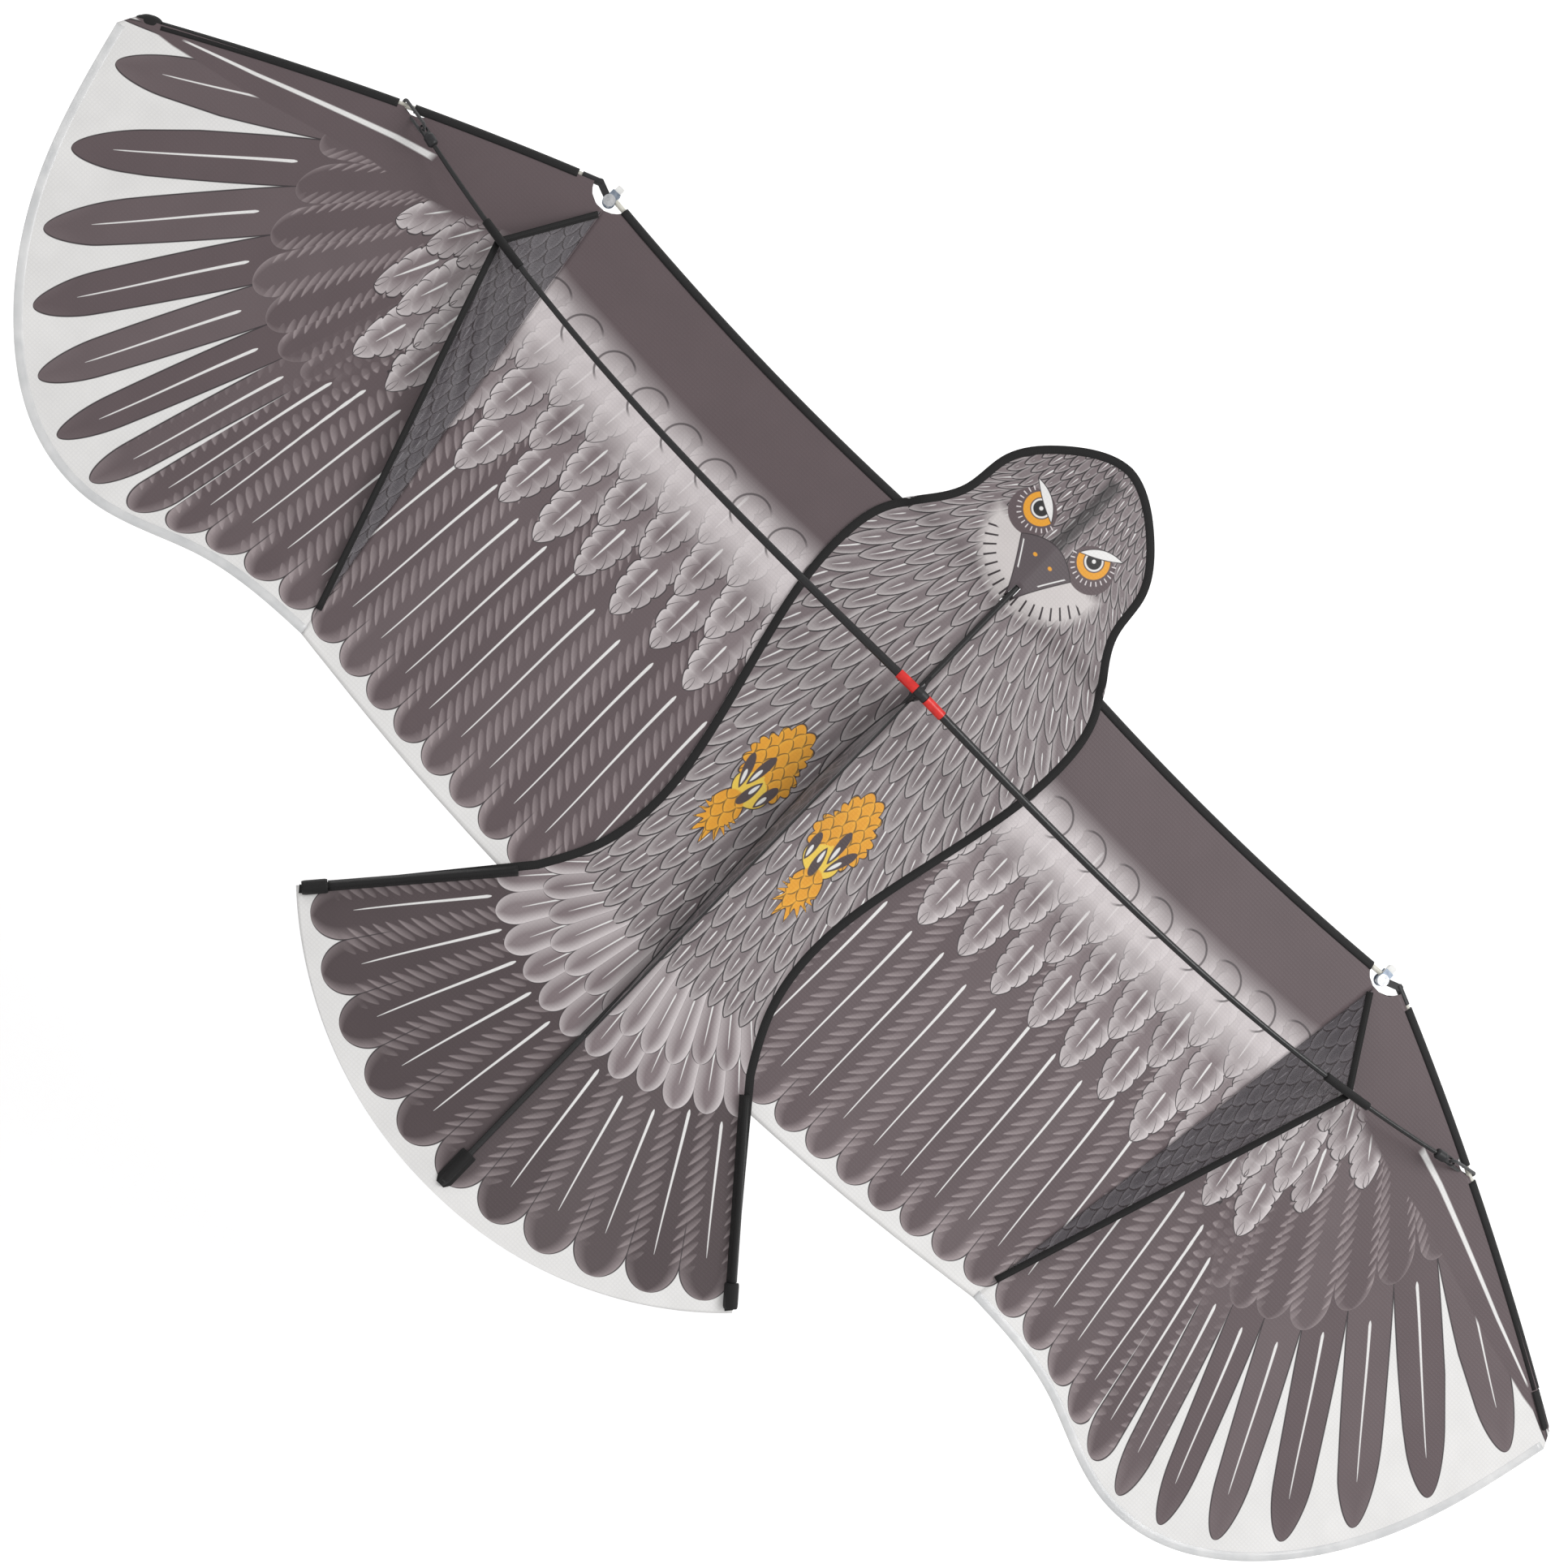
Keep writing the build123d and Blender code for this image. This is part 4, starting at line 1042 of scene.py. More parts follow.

# %% [markdown]
# A pocket holds each rod's end. A carried profile that shrinks to a point over its last rows makes a closed,
# soft end. The right tip has a black cloth pocket, and the left one a milky plastic cap, made here as a rounder
# end with the same dark finish as the pocket.

# %% Pockets
def swelling(profile, count, blunt, closed_start=False):
    """The profile at each step of the path, shrunk to nothing over its end by a quarter circle."""
    place = np.linspace(0, 1, count)
    scale = np.sqrt(np.clip(1 - np.clip((place - 1 + blunt) / blunt, 0, 1) ** 2, 0.0, 1))
    if closed_start:
        scale *= np.sqrt(np.clip(1 - np.clip((blunt - place) / blunt, 0, 1) ** 2, 0.0, 1))
    return np.asarray(profile)[None] * np.clip(scale, 0.02, 1)[:, None, None]


tip_direction = outer_rod[-1] - outer_rod[-2]
tip_direction /= np.linalg.norm(tip_direction)
pocket_path = np.concatenate([sleeve_over(outer_rod, tip_start + 0.003, 1, 24), outer_rod[-1] + tip_direction * [[1.2], [2.2], [3.0]]])
cloth_pocket = swelling([(0.8 * x + 0.5, 0.9 * y + 0.2) for x, y in sleeve_profile], len(pocket_path), 0.12)
tip_pocket = carried_piece("tip_pocket_cloth_right", pocket_path, cloth_pocket * 1.25, 1.0)
finish_piece(tip_pocket, "wingtip_right", "tip_cloth", "tip_pocket_right")
cap_path = np.concatenate([sleeve_over(outer_rod, cap_start - 0.004, 1, 20), outer_rod[-1] + tip_direction * [[1.5], [2.8], [3.8]]])
cap_profile = swelling(ring(5.4, 20, 0.8), len(cap_path), 0.45, closed_start=True)
tip_cap = carried_piece("tip_cap_left", cap_path, cap_profile, -1.0)
finish_piece(tip_cap, "wingtip_left", "tip_cloth", "tip_pocket_left")

spine_up = 2.85
head_path = np.stack([np.zeros(24), np.linspace(124, 166, 24), np.full(24, spine_up)], axis=-1)
head_pocket = carried_piece("head_pocket_cloth", head_path, swelling(ring(2.75, 16, 0.98), 24, 0.1))
finish_piece(head_pocket, "frame", "black_tape", "head_pocket")
tail_path = np.stack([np.zeros(26), np.linspace(-401, -427.5, 26), np.full(26, 0.0)], axis=-1)
dome = [(-5.6, 0.95), (-5.6, 1.25), (-3.6, 1.5), (-2.7, 3.6), (-1.6, 4.9), (0, 5.35), (1.6, 4.9), (2.7, 3.6), (3.6, 1.5)]
dome += [(5.6, 1.25), (5.6, 0.95), (0, 0.9)]
tail_scale = np.interp(np.linspace(0, 1, 26), [0, 0.04, 0.85, 1], [0.94, 1, 1, 0.55])[:, None, None]
tail_pocket = carried_piece("tail_pocket_cloth", tail_path, np.array(dome)[None] * [1, 1] * tail_scale)
finish_piece(tail_pocket, "frame", "black_tape", "tail_pocket")

# %% [markdown]
# The tail's side rods lie on the cloth in their own sleeves, with a folded tape pocket at each corner.

# %% Tail sleeves and corner pockets
tail_low = np.array([101.0, -253.0, plain_slope(101.0) + 4.55])
tail_far = np.array([188.6, -353.8, plain_slope(188.6) + 4.55])
tail_way = (tail_far - tail_low) / np.linalg.norm(tail_far - tail_low)
tail_length = float(np.linalg.norm(tail_far - tail_low))
hood = [(-3.4, -3.3), (-3.4, -2.9), (-2.5, -1.2), (-2.1, 1.1), (-1.1, 2.3), (0, 2.7), (1.1, 2.3), (2.1, 1.1), (2.5, -1.2)]
hood += [(3.4, -2.9), (3.4, -3.3), (0, -3.3)]
corner_box = [(-4.6, -3.3), (-4.6, -0.6), (-3.4, 1.8), (-1.2, 3.1), (1.2, 3.1), (3.4, 1.8), (4.6, -0.6), (4.6, -3.3), (0, -3.4)]
for side_name, side in sides.items():
    path = tail_low + tail_way * np.linspace(0, tail_length - 15, 40)[:, None]
    tail_sleeve = carried_piece(f"tail_sleeve_tape_{side_name}", path, hood, side)
    finish_piece(tail_sleeve, "frame", "black_tape", f"tail_sleeve_{side_name}")
    path = tail_far + tail_way * np.linspace(-14.7, 1.6, 14)[:, None]
    taper = np.interp(np.linspace(0, 1, 14), [0, 0.08, 0.9, 1], [0.92, 1, 1, 0.9])[:, None, None]
    corner = carried_piece(f"tail_corner_tape_{side_name}", path, np.array(corner_box)[None] * taper, side)
    finish_piece(corner, "frame", "black_tape", f"tail_corner_{side_name}")

# %% [markdown]
# The keel is a thin triangle of cloth along the spine, from the spar crossing to the tail. It isn't quite taut,
# so it leans and ripples a little between its sewn foot and its taped free edge.

# %% Keel
keel_foot, keel_front, keel_back, keel_top = 5.15, -5.0, -299.0, 29.5


def keel_point(share_back, share_up):
    """Grid point: a straight foot, a free edge that leans to the left, and ripples widest half way up."""
    ahead = keel_front + (keel_back - keel_front) * share_back
    top = keel_foot + 0.6 + (keel_top - keel_foot) * (1 - share_back)
    height = keel_foot + (top - keel_foot) * share_up
    belly = np.sin(math.pi * share_up) * np.clip(1 - share_back, 0.05, 1) ** 0.5
    lean = belly * (1.1 * np.sin(ahead / 11.0) + 0.8 * np.sin(ahead / 5.3 + share_up * 2.0))
    lean = lean - 10.5 * share_up * np.sin(math.pi * share_back**0.55) * (1 - 0.35 * share_back)
    return np.stack([lean, ahead, height], axis=-1)


grid_back, grid_up = np.meshgrid(np.linspace(0, 1, 180), np.linspace(0, 1, 14), indexing="ij")
keel_points = keel_point(grid_back, grid_up)
keel_cloth = grid_piece("keel_cloth", keel_points, flat=keel_points[..., 1:])
thicken(keel_cloth, 0.25)
finish_piece(keel_cloth, "frame", "keel_cloth", "keel")
keel_edge = keel_point(np.linspace(0.0, 0.995, 120), np.ones(120)) + [0, 0, -0.4]
keel_tape = carried_piece("keel_tape", keel_edge, flat_profile(3.5, 0.7), up=(1.0, 0.0, 0.0))
finish_piece(keel_tape, "frame", "black_tape", "keel_binding")

# %% [markdown]
# A fin stands from each wing seam up to a loop round the spar, and holds the wing's curve. It is a triangle, so
# its grid runs from the root to the apex, where it shrinks to a point.

# %% Fins and spar loops
def spar_point(out):
    """Centre of the spar: a straight slope plus a cube of the distance out, forward and down."""
    share = (np.asarray(out, float) / spar_reach) ** 3
    return np.stack([out + 0 * share, spar_sweep * share, spar_height - spar_slope * out - spar_sag * share], axis=-1)


fin_front = np.array([354.5, 88.0, plain_slope(354.5) + 1.0])
fin_rear = np.array([303.0, -226.0, plain_slope(303.0) + 1.0])
fin_apex = spar_point(388.0) - [0, 0, 3.5]
fin_normal = np.cross(fin_front - fin_rear, fin_apex - fin_rear)
fin_normal /= np.linalg.norm(fin_normal)


def fin_point(share_back, share_up):
    """Straight lines from the root to the apex, with a shallow belly and creases that run to the apex."""
    root = fin_front + (fin_rear - fin_front) * share_back[..., None]
    flat = root + (fin_apex - root) * share_up[..., None]
    belly = 4 * share_up * (1 - share_up) * np.sin(math.pi * share_back)
    crease = 1.6 * belly + 0.9 * belly * np.sin(share_back * 23 + share_up * 3) + 0.5 * belly * np.sin(share_back * 51)
    return flat + fin_normal * crease[..., None]


grid_back, grid_up = np.meshgrid(np.linspace(0, 1, 90), np.linspace(0, 1, 36), indexing="ij")
fin_points = fin_point(grid_back, grid_up)
fin_root_way = (fin_rear - fin_front) / np.linalg.norm(fin_rear - fin_front)
fin_up_way = np.cross(fin_normal, fin_root_way)
fin_flat = np.stack([(fin_points - fin_front) @ fin_root_way, (fin_points - fin_front) @ fin_up_way], axis=-1)
fin_pieces = {}
for side_name, side in sides.items():
    fin = grid_piece(f"fin_cloth_{side_name}", fin_points, side, flat=fin_flat)
    merge_points(fin)
    thicken(fin, 0.25)
    edge = np.concatenate(
        [
            fin_point(np.zeros(30), np.linspace(0.02, 0.97, 30)),
            [fin_apex],
            fin_point(np.ones(60), np.linspace(0.97, 0.01, 60)),
        ]
    )
    front_edge, rear_edge = edge[:31], edge[30:]
    middle = (fin_front + fin_rear + fin_apex) / 3
    front_edge = front_edge + (middle - front_edge.mean(0)) / np.linalg.norm(middle - front_edge.mean(0)) * 1.8
    rear_edge = rear_edge + (middle - rear_edge.mean(0)) / np.linalg.norm(middle - rear_edge.mean(0)) * 1.8
    front_tape = carried_piece(f"fin_tape_front_{side_name}", front_edge, flat_profile(4.5, 0.8), side, up=fin_normal)
    rear_tape = carried_piece(f"fin_tape_rear_{side_name}", rear_edge, flat_profile(4.5, 0.8), side, up=fin_normal)
    loop_path = spar_point(np.linspace(366, 401.6, 24))
    drop = [(2.4, -1.6), (2.9, 0), (2.4, 1.6), (1.2, 2.65), (0, 2.9), (-1.2, 2.65), (-2.4, 1.6), (-2.9, 0), (-2.4, -1.6)]
    drop += [(-0.7, -3.2), (-0.5, -5.2), (0.5, -5.2), (0.7, -3.2)]
    spar_loop = carried_piece(f"spar_loop_{side_name}", loop_path, drop, side)
    fin_pieces[side_name] = (fin, front_tape, rear_tape, spar_loop)
    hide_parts(f"fin_{side_name}")
    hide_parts(f"fin_binding_{side_name}")
    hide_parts(f"spar_sleeve_{side_name}")
    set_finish(fin, "fin_cloth")
    for piece in (front_tape, rear_tape, spar_loop):
        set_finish(piece, "black_tape")

# %% [markdown]
# A loop of stretch cord goes from the eye at each spar end round the leading rod. It bends the spar and keeps
# the wing taut.

# %% Stretch cords
def unit(vector):
    return vector / np.linalg.norm(vector)


bore_length = 6.5
nock_heading = unit(spar_point(spar_reach - bore_length / 2 + 0.5) - spar_point(spar_reach - bore_length / 2 - 0.5))
eye_point = spar_point(spar_reach) - nock_heading * (bore_length - 0.2) + nock_heading * 12.9
anchor = along(outer_rod, anchor_share)
rod_way = unit(along(outer_rod, anchor_share + 0.01) - along(outer_rod, anchor_share - 0.01))
cord_way = unit(anchor - eye_point)
cord_side = unit(rod_way - cord_way * (rod_way @ cord_way))
cord_up = np.cross(cord_side, cord_way)
loop_radius, wrap_reach, cord_radius = 3.15, 1.2, 1.1
cord_run = float(np.linalg.norm(anchor - eye_point)) - loop_radius
half_turn = np.linspace(math.pi / 2, -math.pi / 2, 13)
loop_plan = np.concatenate(
    [
        np.stack([np.linspace(-cord_run, wrap_reach, 10)[:-1], np.full(9, loop_radius)], axis=-1),
        np.stack([wrap_reach + loop_radius * np.cos(half_turn), loop_radius * np.sin(half_turn)], axis=-1),
        np.stack([np.linspace(wrap_reach, -cord_run, 10)[1:-1], np.full(8, -loop_radius)], axis=-1),
        np.stack([-cord_run - loop_radius * np.cos(half_turn), -loop_radius * np.sin(half_turn)], axis=-1)[:-1],
    ]
)
cord_path = anchor + loop_plan[:, :1] * cord_way + loop_plan[:, 1:] * cord_up
cord_length = float(np.linalg.norm(np.diff(cord_path, axis=0, append=cord_path[:1]), axis=1).sum())
print("Stretch cord loop in mm:", round(cord_length, 1))
cords = {}
for side_name, side in sides.items():
    cord = carried_piece(f"stretch_cord_{side_name}", cord_path, ring(cord_radius, 12), side, closed=True, up=cord_side)
    finish_piece(cord, f"wingtip_{side_name}", "stretch_cord", f"bungee_{side_name}")
    cords[side_name] = cord

# %% [markdown]
# Colours are written as they look on paper, from 0 to 1, and turned into the linear values that a shader adds
# and multiplies. The print has a dark brown-grey, a paler grey for the small feathers, and an off-white ground.

# %% Colours
def tint(red, green, blue):
    """A colour as it looks, made linear: each channel is raised to the power of the screen's own curve."""
    seen = np.array([red, green, blue], float)
    linear = np.where(seen <= 0.04045, seen / 12.92, ((seen + 0.055) / 1.055) ** 2.4)
    return (*map(float, linear), 1.0)


dark_brown = tint(0.355, 0.300, 0.312)
deep_brown = tint(0.290, 0.240, 0.250)
line_brown = tint(0.185, 0.150, 0.165)
mid_grey = tint(0.485, 0.435, 0.445)
pale_grey = tint(0.845, 0.815, 0.818)
barb_grey = tint(0.680, 0.630, 0.635)
quill_white = tint(0.905, 0.900, 0.895)
ground_white = tint(0.900, 0.895, 0.890)
bright_orange = tint(0.900, 0.620, 0.130)
yellow = tint(0.930, 0.790, 0.300)
near_black = tint(0.105, 0.100, 0.105)

# %% [markdown]
# The wing print, from the back to the front: the ground, the long feathers, which narrow to fingers at the
# wing's end, a second dark row over the fingers' roots, three rows of large pale covering feathers with notched
# rims, a pale glow with small scallops, and the plain dark band along the leading edge.

# %% Wing print
def lay_row(tree, below, number, from_tip, spacing, **values):
    """Lays one row of feathers over a colour."""
    row = place_group(tree, feather_row, Number=number, From_Tip=from_tip, Spacing=spacing, **values)
    return blend_colour(tree, row.outputs["Mask"], below, row.outputs["Colour"])


def wing_print():
    """Material of the wing cloth: rows of feathers laid over each other."""
    material, tree, shader = new_material("wing_cloth", 0.5, sheen=0.25)
    number, from_tip, spacing = read_field(tree, "quill")
    covert, depth, covert_spacing = read_field(tree, "cover")
    in_band, band_share, out = read_field(tree, "lead")
    shrink = ((number - 13.0) / 6.0).between() * -0.55 + 1.0
    outer = ((number.whole() - 11.5) / 2.0).between()
    dark = dict(Middle_Colour=dark_brown, Rim_Colour=barb_grey, Line_Colour=line_brown, Quill_Colour=quill_white)
    colour = lay_row(
        tree,
        ground_white,
        number,
        from_tip,
        spacing,
        Widest=46.0,
        Tip_Length=outer * 24.0 + 16.0,
        Pinch=outer * 0.5,
        Pinch_Length=150.0,
        Outline=0.9,
        Line_Length=outer * 130.0 + 34.0,
        Rim_Width=9.0,
        Rim_Length=34.0,
        Rim_Strength=outer * -0.85 + 0.95,
        Quill_Start=26.0,
        Quill_End=outer * -12.0 + 154.0,
        Quill_Width=1.05,
        Barb_Strength=outer * -0.8 + 0.8,
        Barb_Start=12.0,
        **dark,
    )
    second = place_group(
        tree,
        feather_row,
        Number=number + 0.42,
        From_Tip=from_tip - 146.0,
        Spacing=spacing,
        Seed=3.0,
        Scatter=10.0,
        Widest=26.0,
        Tip_Length=16.0,
        Outline=0.1,
        Line_Length=20.0,
        Rim_Width=6.0,
        Rim_Length=26.0,
        Rim_Strength=0.45,
        Quill_Start=900.0,
        Barb_Strength=0.8,
        Barb_Start=9.0,
        **dark,
    )
    second_shown = Amount(tree, second.outputs["Mask"]) * outer
    colour = blend_colour(tree, second_shown, colour, second.outputs["Colour"])
    for order, tip_depth in enumerate((186.0, 150.0, 117.0)):
        colour = lay_row(
            tree,
            colour,
            covert + 0.5 * (order % 2) + 0.1 * order,
            (depth * -1.0 + tip_depth) * shrink,
            covert_spacing,
            Seed=float(order) + 5.0,
            Scatter=9.0,
            Widest=28.0,
            Tip_Length=36.0,
            Tip_Roundness=0.72,
            Notch_Pitch=13.0,
            Notch_Depth=2.4,
            Outline=0.8,
            Line_Length=58.0,
            Rim_Width=10.5,
            Rim_Strength=1.1,
            Pale_Tip=20.0,
            Quill_Start=14.0,
            Quill_End=46.0,
            Quill_Width=1.05,
            **(dark | {"Middle_Colour": mid_grey, "Rim_Colour": pale_grey}),
        )
    softness = ((out - 380.0) / 70.0).between() * -14.0 + 15.0
    band = ((in_band - softness * 0.3) / softness + 0.5).between()
    colour = blend_colour(tree, band, colour, dark_brown)
    inner = outer * -1.0 + 1.0
    glow = (in_band * -1.0 + 8.0).edge(26.0) * (in_band + 30.0).edge(26.0) * inner * 0.85
    colour = blend_colour(tree, glow, colour, pale_grey)
    aside = (covert.work("FRACT") - 0.5) * covert_spacing
    away = (aside * aside + (in_band - 1.0) * (in_band - 1.0)) ** 0.5
    arc = ((away - 13.0).size() * -1.0 + 0.7).edge(0.5) * (in_band * 0.6 + aside + 1.0).edge(7.0) * inner
    colour = blend_colour(tree, arc * 0.75, colour, line_brown)
    last_quill = ((band_share - 0.52).size() * -22.0 + 0.9).least((out - 455.0) * 0.1).least((out - 616.0) * -0.1)
    colour = blend_colour(tree, last_quill.edge(0.5), colour, quill_white)
    finish_cloth(tree, shader, colour)
    return material


wing_material = wing_print()
for piece in wing_cloths.values():
    piece.data.materials.append(wing_material)

# %% [markdown]
# Small body feathers overlap like roof tiles. At any point only three rows can show: the row whose tips come
# next behind it, and the two below that one, seen between its tips. The group lays them over each other.

# %% Scale group
def scale_group():
    """Overlapping scales: three neighbouring feather rows, half a width out of step, flaring from the spine."""
    group, entry, result = new_group(
        "body_scales",
        [
            ("Column", NUMBER, 0.0),
            ("Row", NUMBER, 0.0),
            ("Width", NUMBER, 9.0),
            ("Length", NUMBER, 1.8),
            ("Flare", NUMBER, 0.0),
            ("Last Row", NUMBER, 100.0),
            ("Middle Colour", COLOUR, mid_grey),
            ("Rim Colour", COLOUR, pale_grey),
            ("Line Colour", COLOUR, line_brown),
            ("Quill Colour", COLOUR, quill_white),
        ],
        [("Colour", COLOUR), ("Mask", NUMBER)],
    )
    column = Amount(group, entry.outputs["Column"])
    row = Amount(group, entry.outputs["Row"])
    width = Amount(group, entry.outputs["Width"])
    last = Amount(group, entry.outputs["Last Row"])
    pitch = width * Amount(group, entry.outputs["Length"])
    first = row.work("CEIL")
    colour, mask = entry.outputs["Middle Colour"], None
    for step in (2.0, 1.0, 0.0):
        which = first + step
        parity = (which * 0.5).work("FRACT")
        bend = (which * 12.9898).wave() * 0.1
        from_tip = (which - row) * pitch
        tile = place_group(
            group,
            feather_row,
            Number=column * (from_tip * Amount(group, entry.outputs["Flare"]) + 1.0) + parity + bend,
            From_Tip=from_tip,
            Spacing=width,
            Seed=which,
            Scatter=pitch * 0.24,
            Widest=60.0,
            Tip_Length=pitch * 0.95,
            Tip_Roundness=0.72,
            Notch_Pitch=width * 0.62,
            Notch_Depth=width * 0.012,
            Outline=0.95,
            Line_Length=pitch * 1.6,
            Rim_Width=width * 0.36,
            Rim_Strength=1.05,
            Pale_Tip=pitch * 0.5,
            Quill_Start=pitch * 0.24,
            Quill_End=pitch * 1.15,
            Quill_Width=0.72,
            Middle_Colour=entry.outputs["Middle Colour"],
            Rim_Colour=entry.outputs["Rim Colour"],
            Line_Colour=entry.outputs["Line Colour"],
            Quill_Colour=entry.outputs["Quill Colour"],
        )
        shown = Amount(group, tile.outputs["Mask"]) * (last - which + 0.5).edge(0.01)
        colour = blend_colour(group, shown, colour, tile.outputs["Colour"])
        mask = shown if mask is None else mask.most(shown)
    group.links.new(colour, result.inputs["Colour"])
    group.links.new(mask.socket, result.inputs["Mask"])
    return group


body_scales = scale_group()

# %% [markdown]
# The head's face is drawn with a few ovals and bands in the cloth's own millimetres. Both sides are drawn at
# once, because the pattern reads the distance from the spine without its sign.

# %% Shapes of the face and feet
def oval(across, ahead, centre, radii, turn=0.0):
    """How far inside an oval a point lies, in millimetres: one minus its distance in radii, times the less radius."""
    cosine, sine = math.cos(math.radians(turn)), math.sin(math.radians(turn))
    side_way, way = across - centre[0], ahead - centre[1]
    first = (side_way * cosine + way * sine) / radii[0]
    second = (way * cosine - side_way * sine) / radii[1]
    return ((first * first + second * second) ** 0.5).less_than_one() * min(radii)


def paint(tree, colour, inside, above, softness=0.5):
    """Covers a colour where the amount inside is above zero."""
    return blend_colour(tree, inside.edge(softness), colour, above)


def paint_face(tree, colour, across, ahead):
    """Pale bib with strokes, dark beak, and ringed eyes under a white brow."""
    bib = oval(across, ahead, (0, 126), (45, 40))
    colour = paint(tree, colour, bib.least((ahead * -1.0 + 129.0) * 1.0), tint(0.80, 0.775, 0.77), 7.0)
    turn = (ahead * -1.0 + 136.0).work("ARCTAN2", across)
    strokes = ((turn * 44.0).wave() - 0.8) * 5.0
    reach = (bib * -1.0 + 9.5).least(bib - 1.5)
    colour = paint(tree, colour, strokes.least(reach).least(ahead * -1.0 + 118.0), line_brown, 0.6)
    mask = oval(across, ahead, (26.5, 140.5), (16.0, 15.5))
    colour = paint(tree, colour, mask, dark_brown)
    along_brow = ((across - 13.5) * 24.5 + (ahead - 144.0) * 15.0) / (28.7 * 28.7)
    over_brow = ((ahead - 144.0) * 24.5 - (across - 13.5) * 15.0) / 28.7
    below_brow = over_brow * -1.0 + 0.5
    lash_turn = (ahead - 145.5).work("ARCTAN2", across - 24.0)
    lashes = ((lash_turn * 26.0).wave() - 0.75) * 4.0
    ring_out = oval(across, ahead, (24.0, 145.5), (11.2, 11.2))
    lash_ring = (ring_out * -1.0 - 1.4).least(ring_out + 4.4).least(below_brow)
    colour = paint(tree, colour, lashes.least(lash_ring), pale_grey, 0.5)
    colour = paint(tree, colour, ring_out.least(below_brow), bright_orange)
    colour = paint(tree, colour, oval(across, ahead, (24.0, 146.0), (7.2, 7.2)).least(below_brow), dark_brown)
    colour = paint(tree, colour, oval(across, ahead, (24.0, 146.0), (6.4, 6.4)).least(below_brow), quill_white)
    colour = paint(tree, colour, oval(across, ahead, (24.0, 146.0), (5.2, 5.2)).least(below_brow), near_black)
    colour = paint(tree, colour, oval(across, ahead, (24.0, 146.0), (1.3, 1.3)), quill_white)
    swell = (((along_brow * 2.0 - 1.0) ** 2.0).less_than_one() * 3.1).most(0.0)
    brow = (swell - (over_brow - swell * 0.5).size() * 1.15).least(along_brow * 28.0).least((along_brow - 1.0) * -28.0)
    colour = paint(tree, colour, brow + 0.7, line_brown)
    colour = paint(tree, colour, brow, quill_white)
    tip_way = ((ahead - 90.5) / 36.0).between()
    half = (tip_way ** 1.15) * 20.0 + 2.4
    top = (across * across) * -0.019 + 134.5
    beak = (half - across).least(top - ahead).least(ahead - 90.5)
    colour = paint(tree, colour, beak + 0.8, line_brown)
    colour = paint(tree, colour, beak, tint(0.33, 0.29, 0.305))
    edge_line = ((half - across - 2.2).size() * -1.0 + 0.5).least(ahead - 108.0).least(ahead * -1.0 + 124.0)
    colour = paint(tree, colour, edge_line, quill_white)
    return paint(tree, colour, oval(across, ahead, (6.6, 121.8), (1.5, 1.2)), bright_orange)


# %% [markdown]
# The print has the bird's feet too, in warm orange. Each is a group of rounded toes with scallop lines, a back
# toe with a frayed end, and four dark claws with a highlight.

# %% Feet
def claw_shape(across, ahead, root, tip, wide):
    """How far inside a claw a point lies: wide near its root, and narrowing to its tip."""
    way = np.subtract(tip, root)
    length = float(np.hypot(*way))
    side_way, along_way = across - root[0], ahead - root[1]
    share = (side_way * float(way[0]) + along_way * float(way[1])) / length**2
    off = (side_way * float(way[1]) - along_way * float(way[0])).size() / length
    half = ((share + 0.12).between() ** 0.5) * (share.less_than_one().between() ** 0.75) * wide
    return (half - off).least((share + 0.12) * length).least(share.less_than_one() * length)


def paint_feet(tree, colour, across, ahead):
    """Toes with rounded lumps, a back toe with a frayed end, a yellow sole and claws with a highlight."""
    toe_turn = (ahead + 88.0).work("ARCTAN2", across - 31.0)
    lumps = (toe_turn * 8.0).wave().size() * 2.8 - 1.4
    toes = oval(across, ahead, (31, -82), (13, 21)).most(oval(across, ahead, (21.5, -98), (8, 13)))
    toes = toes.most(oval(across, ahead, (42, -93), (7.5, 15))) + lumps
    heel_turn = (ahead + 138.0).work("ARCTAN2", across - 35.0)
    frayed = ((heel_turn * 7.5).wave().size() * -5.5 + 2.2) * (ahead * -1.0 - 136.0).edge(8.0)
    heel = oval(across, ahead, (35.5, -138), (10.5, 19)) + frayed
    sole = oval(across, ahead, (31.5, -113), (12.5, 12))
    warm = []
    for direction in (1.0, -1.0):
        tiles = place_group(
            tree,
            body_scales,
            Column=(across - 31.0) / 8.0,
            Row=ahead * direction / 8.0,
            Width=8.0,
            Length=1.0,
            Last_Row=1000.0,
            Middle_Colour=bright_orange,
            Rim_Colour=tint(0.965, 0.710, 0.215),
            Line_Colour=tint(0.50, 0.37, 0.10),
            Quill_Colour=bright_orange,
        )
        warm.append(tiles.outputs["Colour"])
    colour = paint(tree, colour, toes.most(sole).most(heel) + 0.7, line_brown)
    colour = paint(tree, colour, sole, yellow)
    colour = paint(tree, colour, toes.least((oval(across, ahead, (31.5, -116), (10, 13)) * -1.0)), warm[0])
    colour = paint(tree, colour, heel, warm[1])
    for root, tip in (((45, -97), (38, -118)), ((34, -90), (36, -113)), ((32, -124), (29, -105)), ((20, -103), (23, -121))):
        colour = paint(tree, colour, claw_shape(across, ahead, root, tip, 6.2), deep_brown)
        middle = np.add(root, np.multiply(np.subtract(tip, root), 0.45)).tolist()
        end = np.add(root, np.multiply(np.subtract(tip, root), 0.88)).tolist()
        colour = paint(tree, colour, claw_shape(across, ahead, middle, end, 2.2), quill_white)
    return colour
